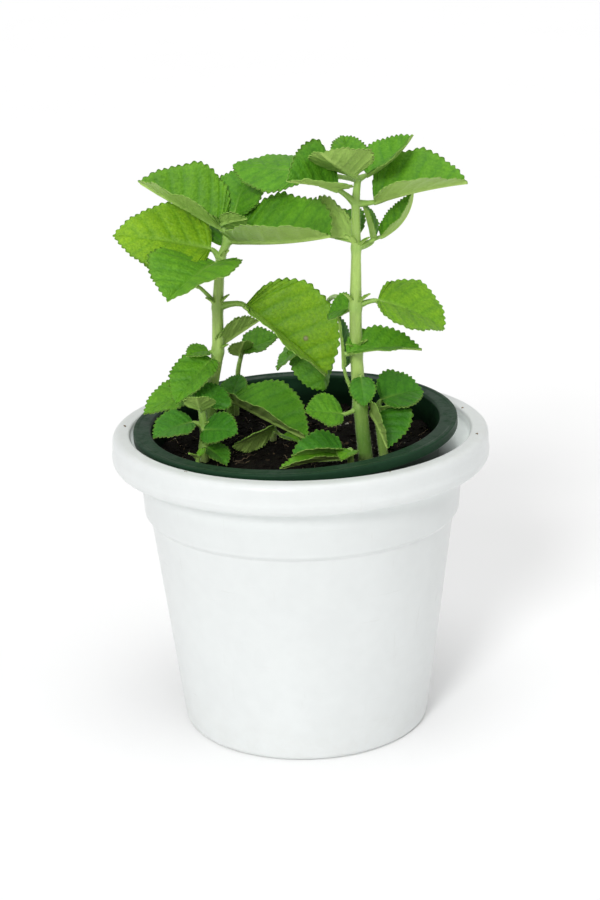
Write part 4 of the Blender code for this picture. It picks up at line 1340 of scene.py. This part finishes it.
def hair_tree():
    """Fine tapered hairs that stand on a surface."""
    tree, given, result = new_tree("fine hairs", "GeometryNodeTree", [
        ("Surface", "NodeSocketGeometry", None), ("Density", "NodeSocketFloat", 100000.0),
        ("Length", "NodeSocketFloat", 0.0008), ("Thickness", "NodeSocketFloat", 0.00005),
        ("Seed", "NodeSocketInt", 3), ("Material", "NodeSocketMaterial", None),
    ], [("Geometry", "NodeSocketGeometry", None)])
    surface, density, length, thickness, seed, material = given.outputs[:6]
    spike = put(tree, "GeometryNodeMeshCone", {"Vertices": 3, "Radius Top": 0.0, "Radius Bottom": 1.0,
                                               "Depth": 1.0}, fill_type="TRIANGLE_FAN")
    scatter = put(tree, "GeometryNodeDistributePointsOnFaces",
                  {"Mesh": surface, "Density": density, "Seed": seed})
    tilt = chance(tree, (-0.5, -0.5, 0.0), (0.5, 0.5, 6.28), seed, 1)
    leant = put(tree, "FunctionNodeRotateRotation", {
        "Rotation": out(scatter, "Rotation"),
        "Rotate By": out(put(tree, "FunctionNodeEulerToRotation", {"Euler": tilt})),
    }, rotation_space="LOCAL")
    height = times(tree, length, chance(tree, 0.5, 1.2, seed, 2))
    scale = put(tree, "ShaderNodeCombineXYZ", {"X": thickness, "Y": thickness, "Z": height})
    placed = put(tree, "GeometryNodeInstanceOnPoints", {
        "Points": out(scatter, "Points"), "Instance": out(spike, "Mesh"),
        "Rotation": out(leant), "Scale": out(scale),
    })
    return dress(tree, out(placed), material, result)


# Operators

class OREGANO_OT_planter(Operator):
    """Turn the white planter with its banded wall and rounded lip"""
    bl_idname = "oregano.planter"
    bl_label = "Build planter"

    def execute(self, context):
        settings = context.scene.oregano
        mesh = turned_mesh("planter", PLANTER_CORNERS, settings.planter.steps, finish_of("white", settings))
        finished("planter", mesh, "white_plastic", "outer_planter")
        return {"FINISHED"}


class OREGANO_OT_nursery(Operator):
    """Turn the dark nursery pot and lean it in the planter"""
    bl_idname = "oregano.nursery"
    bl_label = "Build nursery pot"

    def execute(self, context):
        settings = context.scene.oregano
        mesh = turned_mesh("inner_pot", pot_corners(), settings.planter.steps, finish_of("green", settings))
        mesh.transform(LEAN @ Matrix.Translation(Vector((*POT_AXIS, 0)) * MM))
        finished("inner_pot", mesh, "green_plastic", "nursery_pot")
        return {"FINISHED"}


class OREGANO_OT_soil(Operator):
    """Fill the nursery pot with soil, crumbs and fine roots"""
    bl_idname = "oregano.soil"
    bl_label = "Build soil"

    def execute(self, context):
        settings = context.scene.oregano
        bed, surface = soil_meshes()
        bed.materials.append(finish_of("soil", settings))
        finished("soil_bed", turn_out(bed), "soil", "potting_soil")
        crumb_scatter = shared("scattered crumbs", crumb_tree)
        crumbs = grown("soil_crumbs", surface, crumb_scatter, {
            "Density": settings.soil.crumbs, "Smallest": 0.0004, "Largest": 0.0026, "Flatness": 0.55,
            "Seed": settings.soil.seed, "Material": finish_of("crumb", settings)})
        finished("soil_crumbs", crumbs, "soil")
        fallen = grown("rim_crumbs", rim_patches(), crumb_scatter, {
            "Density": 4e5, "Smallest": 0.0005, "Largest": 0.0014, "Flatness": 0.6,
            "Seed": settings.soil.seed + 4, "Material": finish_of("fibre", settings)})
        finished("rim_crumbs", fallen, "soil")
        paths = chain_mesh("fibre_paths", fibre_chains(settings.soil.seed), ["radius"])
        fibres = grown("soil_fibres", paths, shared("swept stems", sweep_tree), {
            "Sides": 5, "Squareness": 0.0, "Unevenness": 0.00008, "Material": finish_of("fibre", settings)})
        fibres.transform(LEAN)
        finished("soil_fibres", turn_out(fibres, 1e-7), "soil")
        return {"FINISHED"}


class OREGANO_OT_stems(Operator):
    """Sweep the stems and leaf stalks of every shoot and cover them with fine hairs"""
    bl_idname = "oregano.stems"
    bl_label = "Build stems"

    def execute(self, context):
        settings = context.scene.oregano
        lift = Vector((0, 0, SOIL_LEVEL))
        tree = shared("swept stems", sweep_tree)
        hairs = shared("fine hairs", hair_tree)
        for number, shoot in enumerate(SHOOTS):
            chains = [stem_chain(shoot, lift)]
            for joint in shoot.joints:
                chains += [stalk_chain(leaf, Vector(joint.place), lift) for leaf in joint.leaves]
            paths = chain_mesh(shoot.name + "_paths", chains, ["radius", "age", "joint", "foot", "low"])
            mesh = grown(shoot.name + "_stems", paths, tree, {
                "Sides": settings.stem.sides, "Squareness": 0.035, "Unevenness": 0.0003, "Grain": 350.0,
                "Material": finish_of("stem", settings)})
            mesh.transform(LEAN)
            turn_out(mesh, 1e-7)
            fuzz = grown(shoot.name + "_hairs", mesh.copy(), hairs, {
                "Density": settings.stem.hairs, "Length": 0.0008, "Thickness": 0.00006, "Seed": number,
                "Material": finish_of("hair", settings)})
            finished(shoot.name + "_stems", mesh, "leaf_green")
            finished(shoot.name + "_hairs", fuzz, "leaf_green")
        return {"FINISHED"}


class OREGANO_OT_leaves(Operator):
    """Grow the scalloped, quilted blades of every shoot"""
    bl_idname = "oregano.leaves"
    bl_label = "Build leaves"

    def execute(self, context):
        settings = context.scene.oregano
        for shoot in SHOOTS:
            mesh = shoot_leaves(shoot, settings.leaf)
            mesh.materials.append(finish_of("leaf", settings))
            node = shoot.name if shoot.name == "sprout" else shoot.name + "_shoot"
            finished(shoot.name + "_leaves", mesh, "leaf_green", node)
        return {"FINISHED"}


class OREGANO_OT_stage(Operator):
    """Lay the pale floor and set the soft lights and the camera"""
    bl_idname = "oregano.stage"
    bl_label = "Build stage"

    def execute(self, context):
        stage = context.scene.oregano.stage
        lay_floor(stage.floor)
        set_lights(context.scene)
        set_camera(context.scene, stage)
        return {"FINISHED"}


FLOOR_SIDES = 96
AIM = Vector((-0.0005, 0.0, 0.1871))
SENSOR = 36.0
LAMPS = [  # name, the way to the lamp, spread in degrees, strength
    ("front_lamp", (-0.296, -0.814, 0.50), 14.0, 1.40),
    ("top_lamp", (0.05, -0.17, 0.98), 45.0, 0.86),
]
SKY_STRENGTH = 0.58


def lay_floor(radius):
    angles = [math.tau * i / FLOOR_SIDES for i in range(FLOOR_SIDES)]
    ring = [(radius * math.cos(angle), radius * math.sin(angle), 0.0) for angle in angles]
    floor = bpy.data.objects.new("floor", mesh_of("floor", ring, [list(range(FLOOR_SIDES))], 1.0))
    floor.data.materials.append(floor_material())
    bpy.context.scene.collection.objects.link(floor)


def set_lights(scene):
    """A broad light from near the camera, a wider one from above, and an even white sky."""
    for name, way, spread_angle, strength in LAMPS:
        light = bpy.data.lights.new(name, "SUN")
        light.angle = math.radians(spread_angle)
        light.energy = strength
        lamp = bpy.data.objects.new(name, light)
        lamp.location = AIM + Vector(way) * 3
        lamp.rotation_euler = Vector(way).to_track_quat("Z", "Y").to_euler()
        scene.collection.objects.link(lamp)
    world = bpy.data.worlds.new("soft studio")
    world.use_nodes = True
    sky = world.node_tree.nodes["Background"]
    sky.inputs["Color"].default_value = (1.0, 1.0, 1.0, 1.0)
    sky.inputs["Strength"].default_value = SKY_STRENGTH
    scene.world = world
    scene.view_settings.view_transform = "Standard"


def set_camera(scene, stage):
    rise, roll = stage.elevation, stage.turn
    back = Vector((0.0, -math.cos(rise), math.sin(rise)))
    level = Vector((1.0, 0.0, 0.0))
    above = back.cross(level)
    right = level * math.cos(roll) + above * math.sin(roll)
    up = above * math.cos(roll) - level * math.sin(roll)
    lens = bpy.data.cameras.new("camera")
    lens.sensor_fit = "AUTO"
    lens.sensor_width = SENSOR
    lens.lens = stage.lens
    lens.clip_end = 200.0
    camera = bpy.data.objects.new("camera", lens)
    turn = Matrix((right, up, back)).transposed().to_4x4()
    camera.matrix_world = Matrix.Translation(AIM + back * stage.distance) @ turn
    scene.collection.objects.link(camera)
    scene.camera = camera


PANEL_ROWS = [  # a group of settings and the operators that use it
    ("planter", ("planter", "nursery")), ("soil", ("soil",)), ("stem", ("stems",)), ("leaf", ("leaves",)),
    ("stage", ("stage",)),
]


class OREGANO_PT_panel(Panel):
    """Lists the pieces and their settings"""
    bl_label = "Potted oregano"
    bl_space_type = "VIEW_3D"
    bl_region_type = "UI"
    bl_category = "Oregano"

    def draw(self, context):
        settings = context.scene.oregano
        for group, operators in PANEL_ROWS:
            box = self.layout.box()
            for name in getattr(settings, group).__annotations__:
                box.prop(getattr(settings, group), name)
            for name in operators:
                box.operator("oregano." + name)


CLASSES = [PlanterSettings, SoilSettings, LeafSettings, StemSettings, StageSettings, OreganoSettings,
           OREGANO_OT_planter, OREGANO_OT_nursery, OREGANO_OT_soil, OREGANO_OT_stems, OREGANO_OT_leaves,
           OREGANO_OT_stage, OREGANO_PT_panel]


def register():
    for cls in CLASSES:
        bpy.utils.register_class(cls)
    bpy.types.Scene.oregano = PointerProperty(type=OreganoSettings)


def unregister():
    del bpy.types.Scene.oregano
    for cls in reversed(CLASSES):
        bpy.utils.unregister_class(cls)


def main():
    register()
    bpy.ops.oregano.planter()
    bpy.ops.oregano.nursery()
    bpy.ops.oregano.soil()
    bpy.ops.oregano.stems()
    bpy.ops.oregano.leaves()
    bpy.ops.oregano.stage()


if __name__ == "__main__":
    main()
